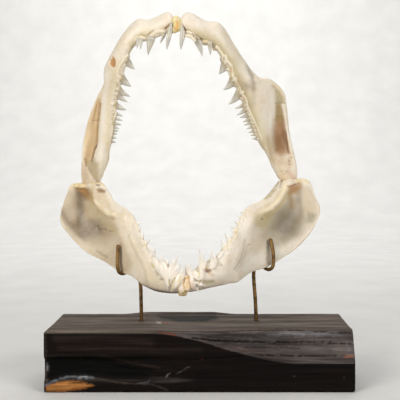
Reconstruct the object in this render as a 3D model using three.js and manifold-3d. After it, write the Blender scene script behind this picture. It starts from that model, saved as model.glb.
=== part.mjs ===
// Dried jaw of a mako-type shark, spread open and held by two brass hooks on a charred wood block.
// Millimetres, +Z up. +X is the viewer's right and +Y runs back from the front teeth.
// The origin is the centre of the block's underside.
import * as THREE from 'three';
import { mergeVertices } from 'three/addons/utils/BufferGeometryUtils.js';
import Module from 'manifold-3d';

const wasm = await Module();
wasm.setup();

// ---- driving dimensions ----
const GAP = 0.3;                 // clearance left wherever two pieces meet
const CUT_GAP = 0.38;            // how far a neighbour is swollen before it cuts, a little more than GAP
const SLIVER = 0.01;             // facets smaller than this have no dependable direction
const SHARPEST = 0.3;            // limits how far the corner of a thin edge moves
const RING_SIDES = 18;           // sides of a jaw section
const JAW_STEPS = 20;            // sections along half a jaw, between its rounded ends
const END_CAP = 0.025;           // part of a half's length that rounds off at each end
const EDGE_SWELL = 1.03;         // sections run this much past their stations, as facets cut corners
const SHELF_DROP = 0.12;         // part of a half's width in which its shelf falls to the hollow

const UPPER_FRONT_Y = -17;       // depth of the upper front teeth
const LOWER_FRONT_Y = -40;       // the lower front teeth stand further forward
const JOINT_Y = 55;              // depth of both jaw joints

const BLOCK = { length: 311.5, front: -54, back: 50, height: 61 };
const BLOCK_SKEW = 0.028;        // how far each place lies to the right, per mm behind the front face
const BEVEL = { drop: 30, setBack: 15, from: -48, to: 100 };     // worn front edge, right of the middle
const TROUGH = { depth: 4, low: 12, high: 36, fadeFrom: -70, fadeTo: 30 };

const ROD_RADIUS = 2;
const ROD_SIDES = 8;
const ROD_STEPS = 26;
const ROD_FOOT_Z = 45;           // how deep the rods stand in the block
const ROD_Y = 9;

const IVORY = 0xe6dcc2;
const AMBER = 0xb98a4c;
const BRASS = 0xa8814a;
const CHAR = 0x2b2624;

// ---- small helpers ----
const clamp = (x, low = 0, high = 1) => Math.min(Math.max(x, low), high);
const smooth = (from, to, x) => THREE.MathUtils.smoothstep(x, from, to);
const bell = (x, middle, width) => Math.exp(-(((x - middle) / width) ** 2));
const mix = (a, b, k) => a + (b - a) * k;

// Straight-line reading of a list of evenly spaced values, k from 0 to 1.
function along(values, k) {
  const place = clamp(k) * (values.length - 1);
  const i = Math.min(Math.floor(place), values.length - 2);
  return mix(values[i], values[i + 1], place - i);
}

// Straight-line reading of [position, value] pairs.
function between(pairs, x) {
  let i = 0;
  while (i < pairs.length - 2 && x > pairs[i + 1][0]) i += 1;
  const [[x0, y0], [x1, y1]] = [pairs[i], pairs[i + 1]];
  return mix(y0, y1, clamp((x - x0) / (x1 - x0)));
}

// ---- solids ----
// A closed loft through rings of equal size. A fan closes each end, to the middle of the end ring
// or, at the far end, to a tip.
function loft(rings, tip) {
  const sides = rings[0].length;
  const middle = (ring) => ring.reduce((sum, p) => sum.add(p), new THREE.Vector3()).divideScalar(sides);
  const points = [...rings.flat(), middle(rings[0]), tip ?? middle(rings[rings.length - 1])];
  const first = points.length - 2;
  const last = points.length - 1;
  const faces = [];
  for (let r = 0; r < rings.length - 1; r += 1) {
    for (let s = 0; s < sides; s += 1) {
      const a = r * sides + s;
      const b = r * sides + (s + 1) % sides;
      faces.push([a, b, b + sides], [a, b + sides, a + sides]);
    }
  }
  const top = (rings.length - 1) * sides;
  for (let s = 0; s < sides; s += 1) {
    const next = (s + 1) % sides;
    faces.push([first, next, s], [last, top + s, top + next]);
  }
  return facesOut(points, faces);
}

// Turns the faces over if they enclose a negative volume.
function facesOut(points, faces) {
  const volume = faces.reduce((sum, [a, b, c]) => {
    const normal = new THREE.Vector3().crossVectors(points[b], points[c]);
    return sum + points[a].dot(normal);
  }, 0);
  const turned = volume < 0 ? faces.map(([a, b, c]) => [a, c, b]) : faces;
  const geometry = new THREE.BufferGeometry().setFromPoints(points);
  geometry.setIndex(turned.flat());
  return geometry;
}

function solidOf(geometry) {
  const bare = new THREE.BufferGeometry();
  bare.setAttribute('position', geometry.getAttribute('position').clone());
  if (geometry.index) bare.setIndex(geometry.index.clone());
  const merged = mergeVertices(bare, 1e-4);
  return new wasm.Manifold(new wasm.Mesh({
    numProp: 3,
    vertProperties: new Float32Array(merged.getAttribute('position').array),
    triVerts: new Uint32Array(merged.index.array),
  }));
}

function geometryOf(solid) {
  const mesh = solid.getMesh();
  const geometry = new THREE.BufferGeometry();
  geometry.setAttribute('position', new THREE.BufferAttribute(new Float32Array(mesh.vertProperties), 3));
  geometry.setIndex(Array.from(mesh.triVerts));
  return geometry;
}

// The same solid with its corners moved out, so that each face round a corner clears by the gap.
function swollen(solid) {
  const geometry = geometryOf(solid);
  geometry.computeVertexNormals();
  const position = geometry.getAttribute('position');
  const normal = geometry.getAttribute('normal');
  const corner = (i) => new THREE.Vector3().fromBufferAttribute(position, i);
  const direction = (i) => new THREE.Vector3().fromBufferAttribute(normal, i);
  const facing = new Array(position.count).fill(1);
  const index = geometry.index.array;
  for (let f = 0; f < index.length; f += 3) {
    const face = [index[f], index[f + 1], index[f + 2]];
    const triangle = new THREE.Triangle(...face.map(corner));
    if (triangle.getArea() < SLIVER) continue;
    const out = triangle.getNormal(new THREE.Vector3());
    face.forEach((i) => { facing[i] = Math.min(facing[i], out.dot(direction(i))); });
  }
  for (let i = 0; i < position.count; i += 1) {
    const moved = corner(i).addScaledVector(direction(i), CUT_GAP / Math.max(facing[i], SHARPEST));
    position.setXYZ(i, moved.x, moved.y, moved.z);
  }
  return solidOf(geometry);
}

function clearOf(solid, neighbours) {
  return neighbours.reduce((left, other) => left.subtract(swollen(other)), solid);
}

// ---- jaw halves ----
// A half runs from the symphysis (t = 0) to the jaw joint (t = 1). Across it, u = 0 is the mouth
// edge, which carries the teeth, and u = 1 the outer rim. Each station gives the mouth edge's x and z
// and the rim's x and z. The last stations of the upper halves reach into the lower ones, as a
// condyle does in its cup.
const UPPER_RIGHT_STATIONS = [
  [-19, 368, -19, 385], [-8, 365, -10, 390], [6, 357, 7, 382], [19, 351, 23, 379], [26, 338, 37, 359],
  [34, 322, 49, 342], [40, 312, 64.5, 325.4], [44, 304, 79, 323.4], [50, 292, 95, 309], [57, 277, 100, 283],
  [65, 257, 104, 258], [76, 241, 109, 239], [84, 225, 112, 224], [94, 210, 112, 209],
];
const UPPER_LEFT_STATIONS = [
  [-28, 368, -27, 385], [-37, 366, -34, 390], [-51, 361, -52, 383], [-65, 358, -67, 383],
  [-74, 348, -84, 366], [-78, 337, -94, 350], [-83, 323, -103, 334], [-87, 310, -105, 320],
  [-91, 298, -113, 306], [-94, 281, -124, 283], [-96, 264, -130, 264], [-100, 248, -133, 247],
  [-104, 231, -134, 230], [-116, 205, -136, 208],
];
const LOWER_RIGHT_STATIONS = [
  [-13, 113, -13, 97], [-2, 123, 1, 99.4], [9, 129, 16, 102], [20, 137, 30, 104.4], [29, 145, 41, 106],
  [37, 155, 54, 114], [42, 166, 72, 119], [48, 179, 91, 128], [57, 186, 111, 141], [68, 190, 127, 159],
  [78, 198, 136, 179], [85, 205, 131, 196.5], [92, 213, 126, 215.4],
];
const LOWER_LEFT_STATIONS = [
  [-19, 114, -20, 96], [-31, 122, -34, 96], [-42, 130, -47, 98], [-51, 137, -59, 103],
  [-57, 147, -70, 110.6], [-63, 158, -85, 115], [-69, 172, -102, 124], [-78, 181, -121, 132],
  [-88, 186, -139, 146], [-97, 192, -155, 165], [-102, 200, -155, 184], [-113, 211, -146.5, 209.5],
];

// Two smooth curves through the stations: the mouth edge and the rim.
function edgesOf(stations) {
  const curve = (column) => new THREE.CatmullRomCurve3(
    stations.map((row) => new THREE.Vector3(row[column], 0, row[column + 1])),
    false,
    'catmullrom',
    0.5,
  );
  return { mouth: curve(0), rim: curve(2) };
}

// Upper halves: a stout tooth bar beside a hollow wing. The floor of the hollow runs from floor[0] of
// its depth beside the bar to floor[1] by the wall, which rises again to the rim.
function upperForm({ shelf, hollow, hollowEnd, groove, floor, wall }) {
  const arc = (t) => UPPER_FRONT_Y + (JOINT_Y - UPPER_FRONT_Y) * t ** 1.5;
  const setBack = (t) => 6 + 16 * bell(t, 0.7, 0.17);
  const shelfEdge = (t) => (t < 0.54 ? 1 : along(shelf, (t - 0.54) / 0.46));
  const front = (t, u) => {
    const edge = shelfEdge(t);
    const dip = hollow * smooth(0.52, 0.66, t) * (1 - smooth(...hollowEnd, t));
    const slope = mix(floor[0], floor[1], smooth(edge + 0.05, Math.max(wall[0], edge + 0.35), u));
    const inHollow = smooth(edge, edge + SHELF_DROP, u) * (1 - smooth(...wall, u)) * slope;
    const bulge = 3 * Math.sin(Math.PI * clamp(u / Math.max(edge, 0.1)));
    const furrow = groove * bell(u, 0.28, 0.12) * bell(t, 0.54, 0.09);
    return arc(t) + setBack(t) * u + dip * inHollow - bulge + furrow;
  };
  const barDepth = [[0, 14], [0.1, 16], [0.5, 15], [0.7, 12], [0.9, 9], [1, 12]];
  const plate = 3.4;
  const depth = (t, u) => {
    const edge = shelfEdge(t);
    const bar = between(barDepth, t);
    const thin = smooth(edge - 0.1, edge + 0.2, u) * smooth(0.52, 0.62, t) * (1 - smooth(0.93, 1, t));
    return mix(bar, plate, thin) + 2 * bell(u, 1, 0.12);
  };
  return { front, depth };
}

// Lower halves: a deep flat plate that sweeps out under a thin tooth bar.
function lowerForm() {
  const arc = (t) => LOWER_FRONT_Y + (JOINT_Y - LOWER_FRONT_Y) * t ** 1.6;
  const setBack = (t) => 6 + 8 * bell(t, 0.55, 0.25);
  const front = (t, u) => {
    const hollow = 9 * bell(t, 0.72, 0.2) * bell(u, 0.6, 0.3);
    const ridge = 3 * bell(u, mix(0.2, 0.35, smooth(0.6, 1, t)), 0.14) * smooth(0.45, 0.7, t);
    const chin = 4 * Math.sin(Math.PI * u) * (1 - smooth(0.25, 0.45, t));
    return arc(t) + setBack(t) * u + hollow - ridge - chin;
  };
  const barEnd = [[0, 1.2], [0.2, 1.2], [0.5, 0.35], [0.8, 0.25], [1, 0.5]];
  const depth = (t, u) => {
    const end = between(barEnd, t);
    const bar = mix(17, 13, smooth(0, 0.5, t));
    const thin = smooth(end - 0.1, end + 0.25, u);
    return mix(bar, 4, thin) + 1.5 * bell(u, 1, 0.1) * thin;
  };
  return { front, depth };
}

// A jaw half. Its surface is point(t, u, side): side is +1 in front, 0 inside and -1 behind.
function halfOf(stations, form, teeth, tipLean) {
  const edges = edgesOf(stations);
  const point = (t, u, side) => {
    const mouth = edges.mouth.getPoint(clamp(t));
    const rim = edges.rim.getPoint(clamp(t));
    const depth = form.depth(t, u);
    const y = form.front(t, u) + depth / 2 - side * depth / 2;
    return new THREE.Vector3(mix(mouth.x, rim.x, u), y, mix(mouth.z, rim.z, u));
  };
  const body = jawBody(point);
  const crowns = teeth.map((tooth) => toothSolid(point, tooth, tipLean));
  const whole = crowns.reduce((jaw, crown) => jaw.add(crown), body);
  return { body, crowns, whole };
}

function jawBody(point) {
  const stations = [0.001, 0.007];
  for (let i = 0; i < JAW_STEPS; i += 1) stations.push(mix(END_CAP, 1 - END_CAP, i / (JAW_STEPS - 1)));
  stations.push(0.993, 0.999);
  const rings = stations.map((t) => {
    const nearEnd = clamp(Math.min(t, 1 - t) / END_CAP);
    const shrink = (1 - (1 - nearEnd) ** 3) ** (1 / 2.5);
    return Array.from({ length: RING_SIDES }, (_, s) => {
      const turn = (s / RING_SIDES) * Math.PI * 2;
      const u = 0.5 - 0.5 * EDGE_SWELL * Math.cos(turn) * shrink;
      const side = Math.sign(Math.sin(turn)) * Math.abs(Math.sin(turn)) ** 0.6 * shrink;
      return point(t, u, side);
    });
  });
  return solidOf(loft(rings));
}

// ---- teeth ----
// Each tooth: place t along the mouth edge, crown length, crown width, and the direction in which
// the tip points, in degrees from +X towards +Z as seen from the front.
const UPPER_RIGHT_TEETH = [
  [0.011, 20.2, 5.7, 266], [0.123, 18.3, 8.3, 280], [0.184, 10.3, 5.2, 272], [0.320, 11.3, 10.9, 236],
  [0.406, 13.3, 9.8, 222], [0.520, 15.8, 9.9, 224], [0.601, 10.8, 4.9, 200], [0.626, 11.8, 6.2, 211],
  [0.658, 9.8, 5.6, 197], [0.677, 8.8, 5.1, 206], [0.695, 8.8, 5.1, 201], [0.712, 7.8, 4.4, 203],
  [0.729, 6.8, 4.4, 201], [0.744, 5.8, 3.8, 191], [0.762, 5.8, 3.8, 178],
];
const UPPER_LEFT_TEETH = [
  [0.022, 21.6, 6.2, 261], [0.158, 18.6, 7.8, 264], [0.208, 9.6, 4.2, 268], [0.234, 8.6, 4.2, 275],
  [0.364, 12.2, 9.5, 314], [0.466, 13.2, 10.3, 321], [0.535, 14.2, 7.8, 331], [0.569, 13.2, 7.8, 325],
  [0.631, 13.2, 8.4, 338], [0.669, 10.2, 5.3, 341], [0.691, 10.2, 5.3, 344], [0.715, 9.4, 5.3, 346],
  [0.734, 7.4, 4.7, 342], [0.753, 6.4, 4, 358], [0.768, 5.4, 4, 356], [0.787, 5.4, 4, 356],
  [0.808, 5.4, 4, 346],
];
const LOWER_RIGHT_TEETH = [
  [0.007, 14, 6.0, 86], [0.099, 21, 6.6, 94], [0.190, 12, 6.6, 95], [0.317, 10, 7.4, 119],
  [0.370, 11, 7.4, 125], [0.428, 7, 5.0, 131], [0.472, 8, 5.6, 166], [0.510, 7, 5.0, 158],
  [0.542, 5, 3.8, 150], [0.571, 4, 3.2, 158],
];
const LOWER_LEFT_TEETH = [
  [0.000, 11, 6.0, 76], [0.068, 17, 7.0, 64], [0.145, 13, 6.1, 87], [0.244, 10.5, 6.5, 70],
  [0.363, 7.5, 6.5, 38], [0.422, 5.5, 5.2, 60], [0.475, 4.5, 4.6, 45], [0.503, 4.5, 4.0, 20],
];

const LONG_TOOTH = 8;            // longer crowns get a rounder section and a slight bow
const LONG_SECTION = [[1, 0], [0.5, 1], [-0.5, 1], [-1, 0], [-0.5, -1], [0.5, -1]];
const SHORT_SECTION = [[1, 0], [0, 1], [-1, 0], [0, -1]];

// One smooth-edged, dagger-like tooth whose root is buried in the jaw. Long teeth bow a little.
function toothSolid(point, [t, length, width, degrees], tipLean) {
  const edge = point(t, 0, 0);
  const inJaw = point(t, 0.5, 0).sub(edge).normalize();
  const angle = THREE.MathUtils.degToRad(degrees);
  const up = new THREE.Vector3(Math.cos(angle), tipLean, Math.sin(angle)).normalize();
  const across = new THREE.Vector3(-Math.sin(angle), 0, Math.cos(angle));
  const through = new THREE.Vector3().crossVectors(up, across).normalize();
  const long = length > LONG_TOOTH;
  const bow = long ? 0.06 * length : 0;
  const middle = (height, sink) => {
    const centre = edge.clone().addScaledVector(up, height * length).addScaledVector(inJaw, sink);
    centre.y += bow * Math.sin(Math.PI * height) - 1;
    return centre;
  };
  const ring = (height, wide, thick, sink) => (long ? LONG_SECTION : SHORT_SECTION).map(
    ([a, b]) => middle(height, sink)
      .addScaledVector(across, a * wide * width / 2)
      .addScaledVector(through, b * thick * width / 2),
  );
  const rings = [ring(0, 1, 0.5, Math.min(4, width * 0.8)), ring(0, 1, 0.5, 0)];
  if (long) rings.push(ring(0.4, 0.66, 0.36, 0));
  rings.push(ring(0.75, 0.34, 0.2, 0));
  return solidOf(loft(rings, middle(1, 0)));
}

// ---- dried ligaments ----
// An egg of dried tissue in the gap between two jaw halves, clear of their first teeth too.
function ligament([x, y, z], [rx, ry, rz], halves) {
  const geometry = new THREE.SphereGeometry(1, 10, 7);
  geometry.scale(rx, ry, rz).translate(x, y, z);
  return clearOf(solidOf(geometry), halves.flatMap(({ body, crowns }) => [body, crowns[0]]));
}

// ---- mount ----
// The block's section at x: underside, front face with its trough, worn bevel and top, back.
function blockSection(x) {
  const { length, front, back, height } = BLOCK;
  const worn = smooth(BEVEL.from, BEVEL.to, x);
  const bevelZ = height - 1.5 - BEVEL.drop * worn;
  const bevelY = front + 1.5 + (BEVEL.setBack - 1.5) * smooth(BEVEL.from, length / 2, x);
  const trough = TROUGH.depth * (1 - smooth(TROUGH.fadeFrom, TROUGH.fadeTo, x));
  const bottom = 1.2;
  const low = Math.min(TROUGH.low, bevelZ - 16);
  const high = Math.min(TROUGH.high, bevelZ - 4);
  return [
    [back - bottom, 0], [front + bottom, 0], [front, bottom],
    [front, low - 2], [front + trough, low + 3], [front + trough, high - 3], [front, high],
    [front, bevelZ], [bevelY, height], [back - 2, height], [back, height - 2], [back, bottom],
  ].map(([y, z]) => new THREE.Vector3(x + BLOCK_SKEW * (y - front), y, z));
}

function blockSolid() {
  const end = BLOCK.length / 2;
  const places = [-end, -115, -70, -48, -20, 26, 62, 100, 128, end];
  return solidOf(loft(places.map(blockSection)));
}

// A round brass wire through the given points.
function wire(points) {
  const route = new THREE.CatmullRomCurve3(points.map((p) => new THREE.Vector3(...p)), false, 'centripetal');
  const section = new THREE.Shape();
  for (let s = 0; s < ROD_SIDES; s += 1) {
    const turn = (s / ROD_SIDES) * Math.PI * 2;
    const corner = [Math.cos(turn) * ROD_RADIUS, Math.sin(turn) * ROD_RADIUS];
    if (s === 0) section.moveTo(...corner);
    else section.lineTo(...corner);
  }
  section.closePath();
  const geometry = new THREE.ExtrudeGeometry(section, { steps: ROD_STEPS, extrudePath: route });
  return solidOf(geometry);
}

// Each rod stands in a drilled hole, passes behind the lower jaw, turns under its rim and ends
// as an open hook in front of it.
const ROD_LEFT_ROUTE = [
  [-62.6, ROD_Y, ROD_FOOT_Z], [-62.6, ROD_Y, 64], [-62.9, ROD_Y, 82], [-63.9, 9.5, 103],
  [-67, 10, 113], [-72, 9.6, 116], [-77.5, 7, 114], [-82.3, 1.2, 112.9], [-85.4, -3.7, 115.4],
  [-86.7, -4.7, 120.5], [-87, -1.7, 131], [-86.8, 2.8, 144],
];
const ROD_RIGHT_ROUTE = [
  [61.9, ROD_Y, ROD_FOOT_Z], [61.8, ROD_Y, 64], [61.1, 9.6, 82], [59.3, 11, 111], [60.5, 12.5, 120],
  [65, 14, 124], [69, 14, 121.4], [71.4, 13.5, 117.8], [75.5, 8, 116.4], [79, 4.5, 119.5],
  [80.4, 6, 125.5], [79.6, 8.5, 138], [77.3, 12.8, 150],
];

function drilled(block, route) {
  const [x, y] = route[0];
  const depth = BLOCK.height - ROD_FOOT_Z + 4;
  const hole = new THREE.CylinderGeometry(ROD_RADIUS + 2 * GAP, ROD_RADIUS + 2 * GAP, depth, 12);
  hole.rotateX(Math.PI / 2).translate(x, y, ROD_FOOT_Z - GAP + depth / 2);
  return block.subtract(solidOf(hole));
}

// ---- assembly ----
const UPPER_TIP_LEAN = 0.12;     // upper tips lean back
const LOWER_TIP_LEAN = -0.12;    // lower tips lean forward

const upperRight = halfOf(UPPER_RIGHT_STATIONS, upperForm({
  shelf: [1, 0.79, 0.62, 0.36, 0.1, 0, 0],
  hollow: 7,
  hollowEnd: [0.74, 0.97],
  groove: 2,
  floor: [0.5, 1],
  wall: [0.76, 0.95],
}), UPPER_RIGHT_TEETH, UPPER_TIP_LEAN);
const upperLeft = halfOf(UPPER_LEFT_STATIONS, upperForm({
  shelf: [1, 0.85, 0.62, 0.53, 0.57, 0.67, 0.9],
  hollow: 6.5,
  hollowEnd: [0.86, 1],
  groove: 0,
  floor: [1, 0.25],
  wall: [0.75, 1],
}), UPPER_LEFT_TEETH, UPPER_TIP_LEAN);
const lowerRight = halfOf(LOWER_RIGHT_STATIONS, lowerForm(), LOWER_RIGHT_TEETH, LOWER_TIP_LEAN);
const lowerLeft = halfOf(LOWER_LEFT_STATIONS, lowerForm(), LOWER_LEFT_TEETH, LOWER_TIP_LEAN);

const rodLeft = wire(ROD_LEFT_ROUTE);
const rodRight = wire(ROD_RIGHT_ROUTE);

// The lower halves lie on the rods in shallow grooves.
const solids = {
  upper_jaw_left: [upperLeft.whole, IVORY, 0.45, 0],
  upper_jaw_right: [upperRight.whole, IVORY, 0.45, 0],
  lower_jaw_left: [clearOf(lowerLeft.whole, [upperLeft.body, rodLeft]), IVORY, 0.45, 0],
  lower_jaw_right: [clearOf(lowerRight.whole, [upperRight.body, rodRight]), IVORY, 0.45, 0],
  upper_symphysis: [ligament([-23.5, -10, 376], [5, 5.5, 8], [upperLeft, upperRight]), AMBER, 0.5, 0],
  lower_symphysis: [ligament([-16, -32, 103], [5, 7.5, 8], [lowerLeft, lowerRight]), AMBER, 0.5, 0],
  joint_ligament_left: [ligament([-127, 64, 207], [13, 9, 9], [upperLeft, lowerLeft]), AMBER, 0.6, 0],
  joint_ligament_right: [ligament([103, 66, 207], [11, 8, 8], [upperRight, lowerRight]), AMBER, 0.6, 0],
  stand_base: [
    [ROD_LEFT_ROUTE, ROD_RIGHT_ROUTE].reduce(drilled, blockSolid()), CHAR, 0.55, 0,
  ],
  stand_rod_left: [rodLeft, BRASS, 0.35, 1],
  stand_rod_right: [rodRight, BRASS, 0.35, 1],
};

const sharkJaw = new THREE.Group();
for (const [name, [solid, color, roughness, metalness]] of Object.entries(solids)) {
  const material = new THREE.MeshStandardMaterial({ color, roughness, metalness });
  const mesh = new THREE.Mesh(geometryOf(solid), material);
  mesh.name = name;
  sharkJaw.add(mesh);
}

export default sharkJaw;
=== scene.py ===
"""A dried mako-type shark jaw, spread open on two brass hooks above a charred wood block."""

import math
import random

import bpy
import numpy as np
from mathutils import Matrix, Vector, noise
from mathutils.bvhtree import BVHTree


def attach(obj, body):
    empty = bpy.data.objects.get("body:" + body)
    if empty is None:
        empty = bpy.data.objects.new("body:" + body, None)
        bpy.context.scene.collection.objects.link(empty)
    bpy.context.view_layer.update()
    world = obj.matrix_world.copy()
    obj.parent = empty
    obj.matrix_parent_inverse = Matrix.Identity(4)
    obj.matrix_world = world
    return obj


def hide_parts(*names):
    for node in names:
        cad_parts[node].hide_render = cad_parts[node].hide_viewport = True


bl_info = {
    "name": "Mounted shark jaw",
    "version": (1, 0, 0),
    "blender": (4, 5, 0),
    "location": "3D View > Sidebar > Shark Jaw",
    "description": "Models and finishes a dried shark jaw with its hooks and wood block",
    "category": "Object",
}

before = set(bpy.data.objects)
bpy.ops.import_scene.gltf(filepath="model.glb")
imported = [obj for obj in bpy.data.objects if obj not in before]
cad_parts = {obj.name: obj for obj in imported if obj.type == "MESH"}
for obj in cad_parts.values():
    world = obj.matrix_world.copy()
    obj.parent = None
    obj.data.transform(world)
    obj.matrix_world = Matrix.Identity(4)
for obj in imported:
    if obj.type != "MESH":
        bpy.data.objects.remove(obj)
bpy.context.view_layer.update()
MM = 0.001


# ---- colour and number helpers ----
def linear(code):
    """An sRGB hex colour as linear red, green and blue."""
    parts = [int(code[i : i + 2], 16) / 255 for i in (1, 3, 5)]
    return tuple(c / 12.92 if c <= 0.04045 else ((c + 0.055) / 1.055) ** 2.4 for c in parts)


def smooth(low, high, x):
    k = np.clip((x - low) / (high - low), 0, 1)
    return k * k * (3 - 2 * k)


def bell(x, middle, width):
    return np.exp(-(((x - middle) / width) ** 2))


def mix(a, b, k):
    return a + (b - a) * k


def stain_and_shade(tint, colour, weight):
    """Draws the tint of each point towards a hex colour by its weight: used for real stains and for painted
    shade and highlights alike.
    """
    return mix(tint, np.array(linear(colour)), weight[..., None])


def between(pairs, x):
    """Straight-line reading of [position, value] pairs."""
    places, values = zip(*pairs)
    return np.interp(x, places, values)


def spline(rows, t):
    """Smooth curve through evenly spaced rows, read at t from 0 to 1."""
    rows = np.array(rows, float)
    rows = np.vstack([2 * rows[0] - rows[1], rows, 2 * rows[-1] - rows[-2]])
    x = np.clip(t, 0, 1) * (len(rows) - 3)
    i = np.minimum(x.astype(int), len(rows) - 4)
    f = (x - i)[..., None]
    p0, p1, p2, p3 = (rows[i + k] for k in range(4))
    return 0.5 * (
        2 * p1 + (p2 - p0) * f + (2 * p0 - 5 * p1 + 4 * p2 - p3) * f**2 + (3 * p1 - p0 - 3 * p2 + p3) * f**3
    )


def unit(v):
    v = np.asarray(v, float)
    return v / np.maximum(np.linalg.norm(v, axis=-1, keepdims=True), 1e-9)


def wavy(points, size, octaves, seed=0.0):
    """Soft noise from about -1 to 1 at points in mm, with features about size mm apart."""
    flat = np.asarray(points, float).reshape(-1, 3) / size + seed
    values = [noise.fractal(Vector(p), 1.0, 2.0, octaves) for p in flat.tolist()]
    return np.array(values).reshape(np.shape(points)[:-1])


# ---- the front view ----
# Marks on the surfaces are listed by column and row of the 400 by 400 front view.
EYE = np.array([1.0, -800.0, 220.7])
PITCH = math.atan(27 / 750)
REACH = 750.0                    # focal length in pixels of the front view


def in_view(points):
    """Column and row of points, in mm, as the front view shows them."""
    v = points - EYE
    ahead = v[..., 1] * math.cos(PITCH) - v[..., 2] * math.sin(PITCH)
    up = v[..., 1] * math.sin(PITCH) + v[..., 2] * math.cos(PITCH)
    return 200 + REACH * v[..., 0] / ahead, 200 - REACH * up / ahead


def sight(column, row):
    """Direction from the eye through a place in the front view."""
    r, u = (column - 200) / REACH, -(row - 200) / REACH
    return unit([r, math.cos(PITCH) + u * math.sin(PITCH), -math.sin(PITCH) + u * math.cos(PITCH)])


def at_depth(column, row, y):
    ray = sight(column, row)
    return EYE + ray * (y - EYE[1]) / ray[1]


def line_distance(c, r, points):
    """Distance of places (c, r) from a run of straight lines."""
    points = np.array(points, float)
    if len(points) == 1:
        return np.hypot(c - points[0, 0], r - points[0, 1])
    best = np.full(np.shape(c), 1e9)
    for (ax, ay), (bx, by) in zip(points[:-1], points[1:]):
        dx, dy = bx - ax, by - ay
        k = np.clip(((c - ax) * dx + (r - ay) * dy) / (dx * dx + dy * dy), 0, 1)
        best = np.minimum(best, np.hypot(c - ax - k * dx, r - ay - k * dy))
    return best


def inside_by(c, r, points):
    """How far places lie inside a closed outline, negative outside it."""
    away = line_distance(c, r, list(points) + [points[0]])
    odd = np.zeros(np.shape(c), bool)
    for (ax, ay), (bx, by) in zip(points, list(points[1:]) + [points[0]]):
        if ay == by:
            continue
        odd ^= ((ay > r) != (by > r)) & (c < (bx - ax) * (r - ay) / (by - ay) + ax)
    return np.where(odd, away, -away)


# Kinds of mark: a line with soft sides, and a patch with a soft border.
def line(points, width, height, colour, strength, closed=False):
    """A mark along a run of places in the front view. The height is in mm."""
    return dict(points=points, width=width, height=height, colour=colour, strength=strength, closed=closed)


def patch(points, feather, height, colour, strength):
    """A mark that fills an outline, with a soft border as wide as its feather."""
    return line(points, feather, height, colour, strength, closed=True)


def weight_of(mark, c, r):
    if mark["closed"]:
        return smooth(-mark["width"], mark["width"], inside_by(c, r, mark["points"]))
    return np.exp(-((line_distance(c, r, mark["points"]) / mark["width"]) ** 2))


def painted(points, tint, marks, shown, ragged=0.45):
    """Lays marks on surface points: the new tint and the height each place gains. Borders run ragged."""
    c, r = in_view(points)
    c = c + ragged * (wavy(points, 3.2, 2, 21.3) + 0.5 * wavy(points, 1.1, 1, 5.2))
    r = r + ragged * (wavy(points, 3.2, 2, 47.9) + 0.5 * wavy(points, 1.1, 1, 8.8))
    height = np.zeros(points.shape[:-1])
    for mark in marks:
        w = weight_of(mark, c, r) * shown
        height += mark["height"] * w
        if mark["colour"]:
            tint = stain_and_shade(tint, mark["colour"], w * mark["strength"])
    return tint, height


# ---- jaw halves: sizes in mm ----
END_CAP = 0.025                  # part of a half's length that rounds off at each end
RING = 132                       # points round a section
STEPS = 400                      # sections along a half
SHELF_CREST = 0.12               # how sharply a hollow drops from its shelf

UPPER_RIGHT_STATIONS = [
    (-19, 368, -19, 385), (-8, 365, -10, 390), (6, 357, 7, 382), (19, 351, 23, 379), (26, 338, 37, 359),
    (34, 322, 49, 342), (40, 312, 64.5, 325.4), (44, 304, 79, 323.4), (50, 292, 95, 309), (57, 277, 100, 283),
    (65, 257, 104, 258), (76, 241, 109, 239), (84, 225, 112, 224), (94, 210, 112, 209),
]
UPPER_LEFT_STATIONS = [
    (-28, 368, -27, 385), (-37, 366, -34, 390), (-51, 361, -52, 383), (-65, 358, -67, 383),
    (-74, 348, -84, 366), (-78, 337, -94, 350), (-83, 323, -103, 334), (-87, 310, -105, 320),
    (-91, 298, -113, 306), (-94, 281, -124, 283), (-96, 264, -130, 264), (-100, 248, -133, 247),
    (-104, 231, -134, 230), (-116, 205, -136, 208),
]
LOWER_RIGHT_STATIONS = [
    (-13, 113, -13, 97), (-2, 123, 1, 99.4), (9, 129, 16, 102), (20, 137, 30, 104.4), (29, 145, 41, 106),
    (37, 155, 54, 114), (42, 166, 72, 119), (48, 179, 91, 128), (57, 186, 111, 141), (68, 190, 127, 159),
    (78, 198, 136, 179), (85, 205, 131, 196.5), (92, 213, 126, 215.4),
]
LOWER_LEFT_STATIONS = [
    (-19, 114, -20, 96), (-31, 122, -34, 96), (-42, 130, -47, 98), (-51, 137, -59, 103),
    (-57, 147, -70, 110.6), (-63, 158, -85, 115), (-69, 172, -102, 124), (-78, 181, -121, 132),
    (-88, 186, -139, 146), (-97, 192, -155, 165), (-102, 200, -155, 184), (-113, 211, -146.5, 209.5),
]


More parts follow.
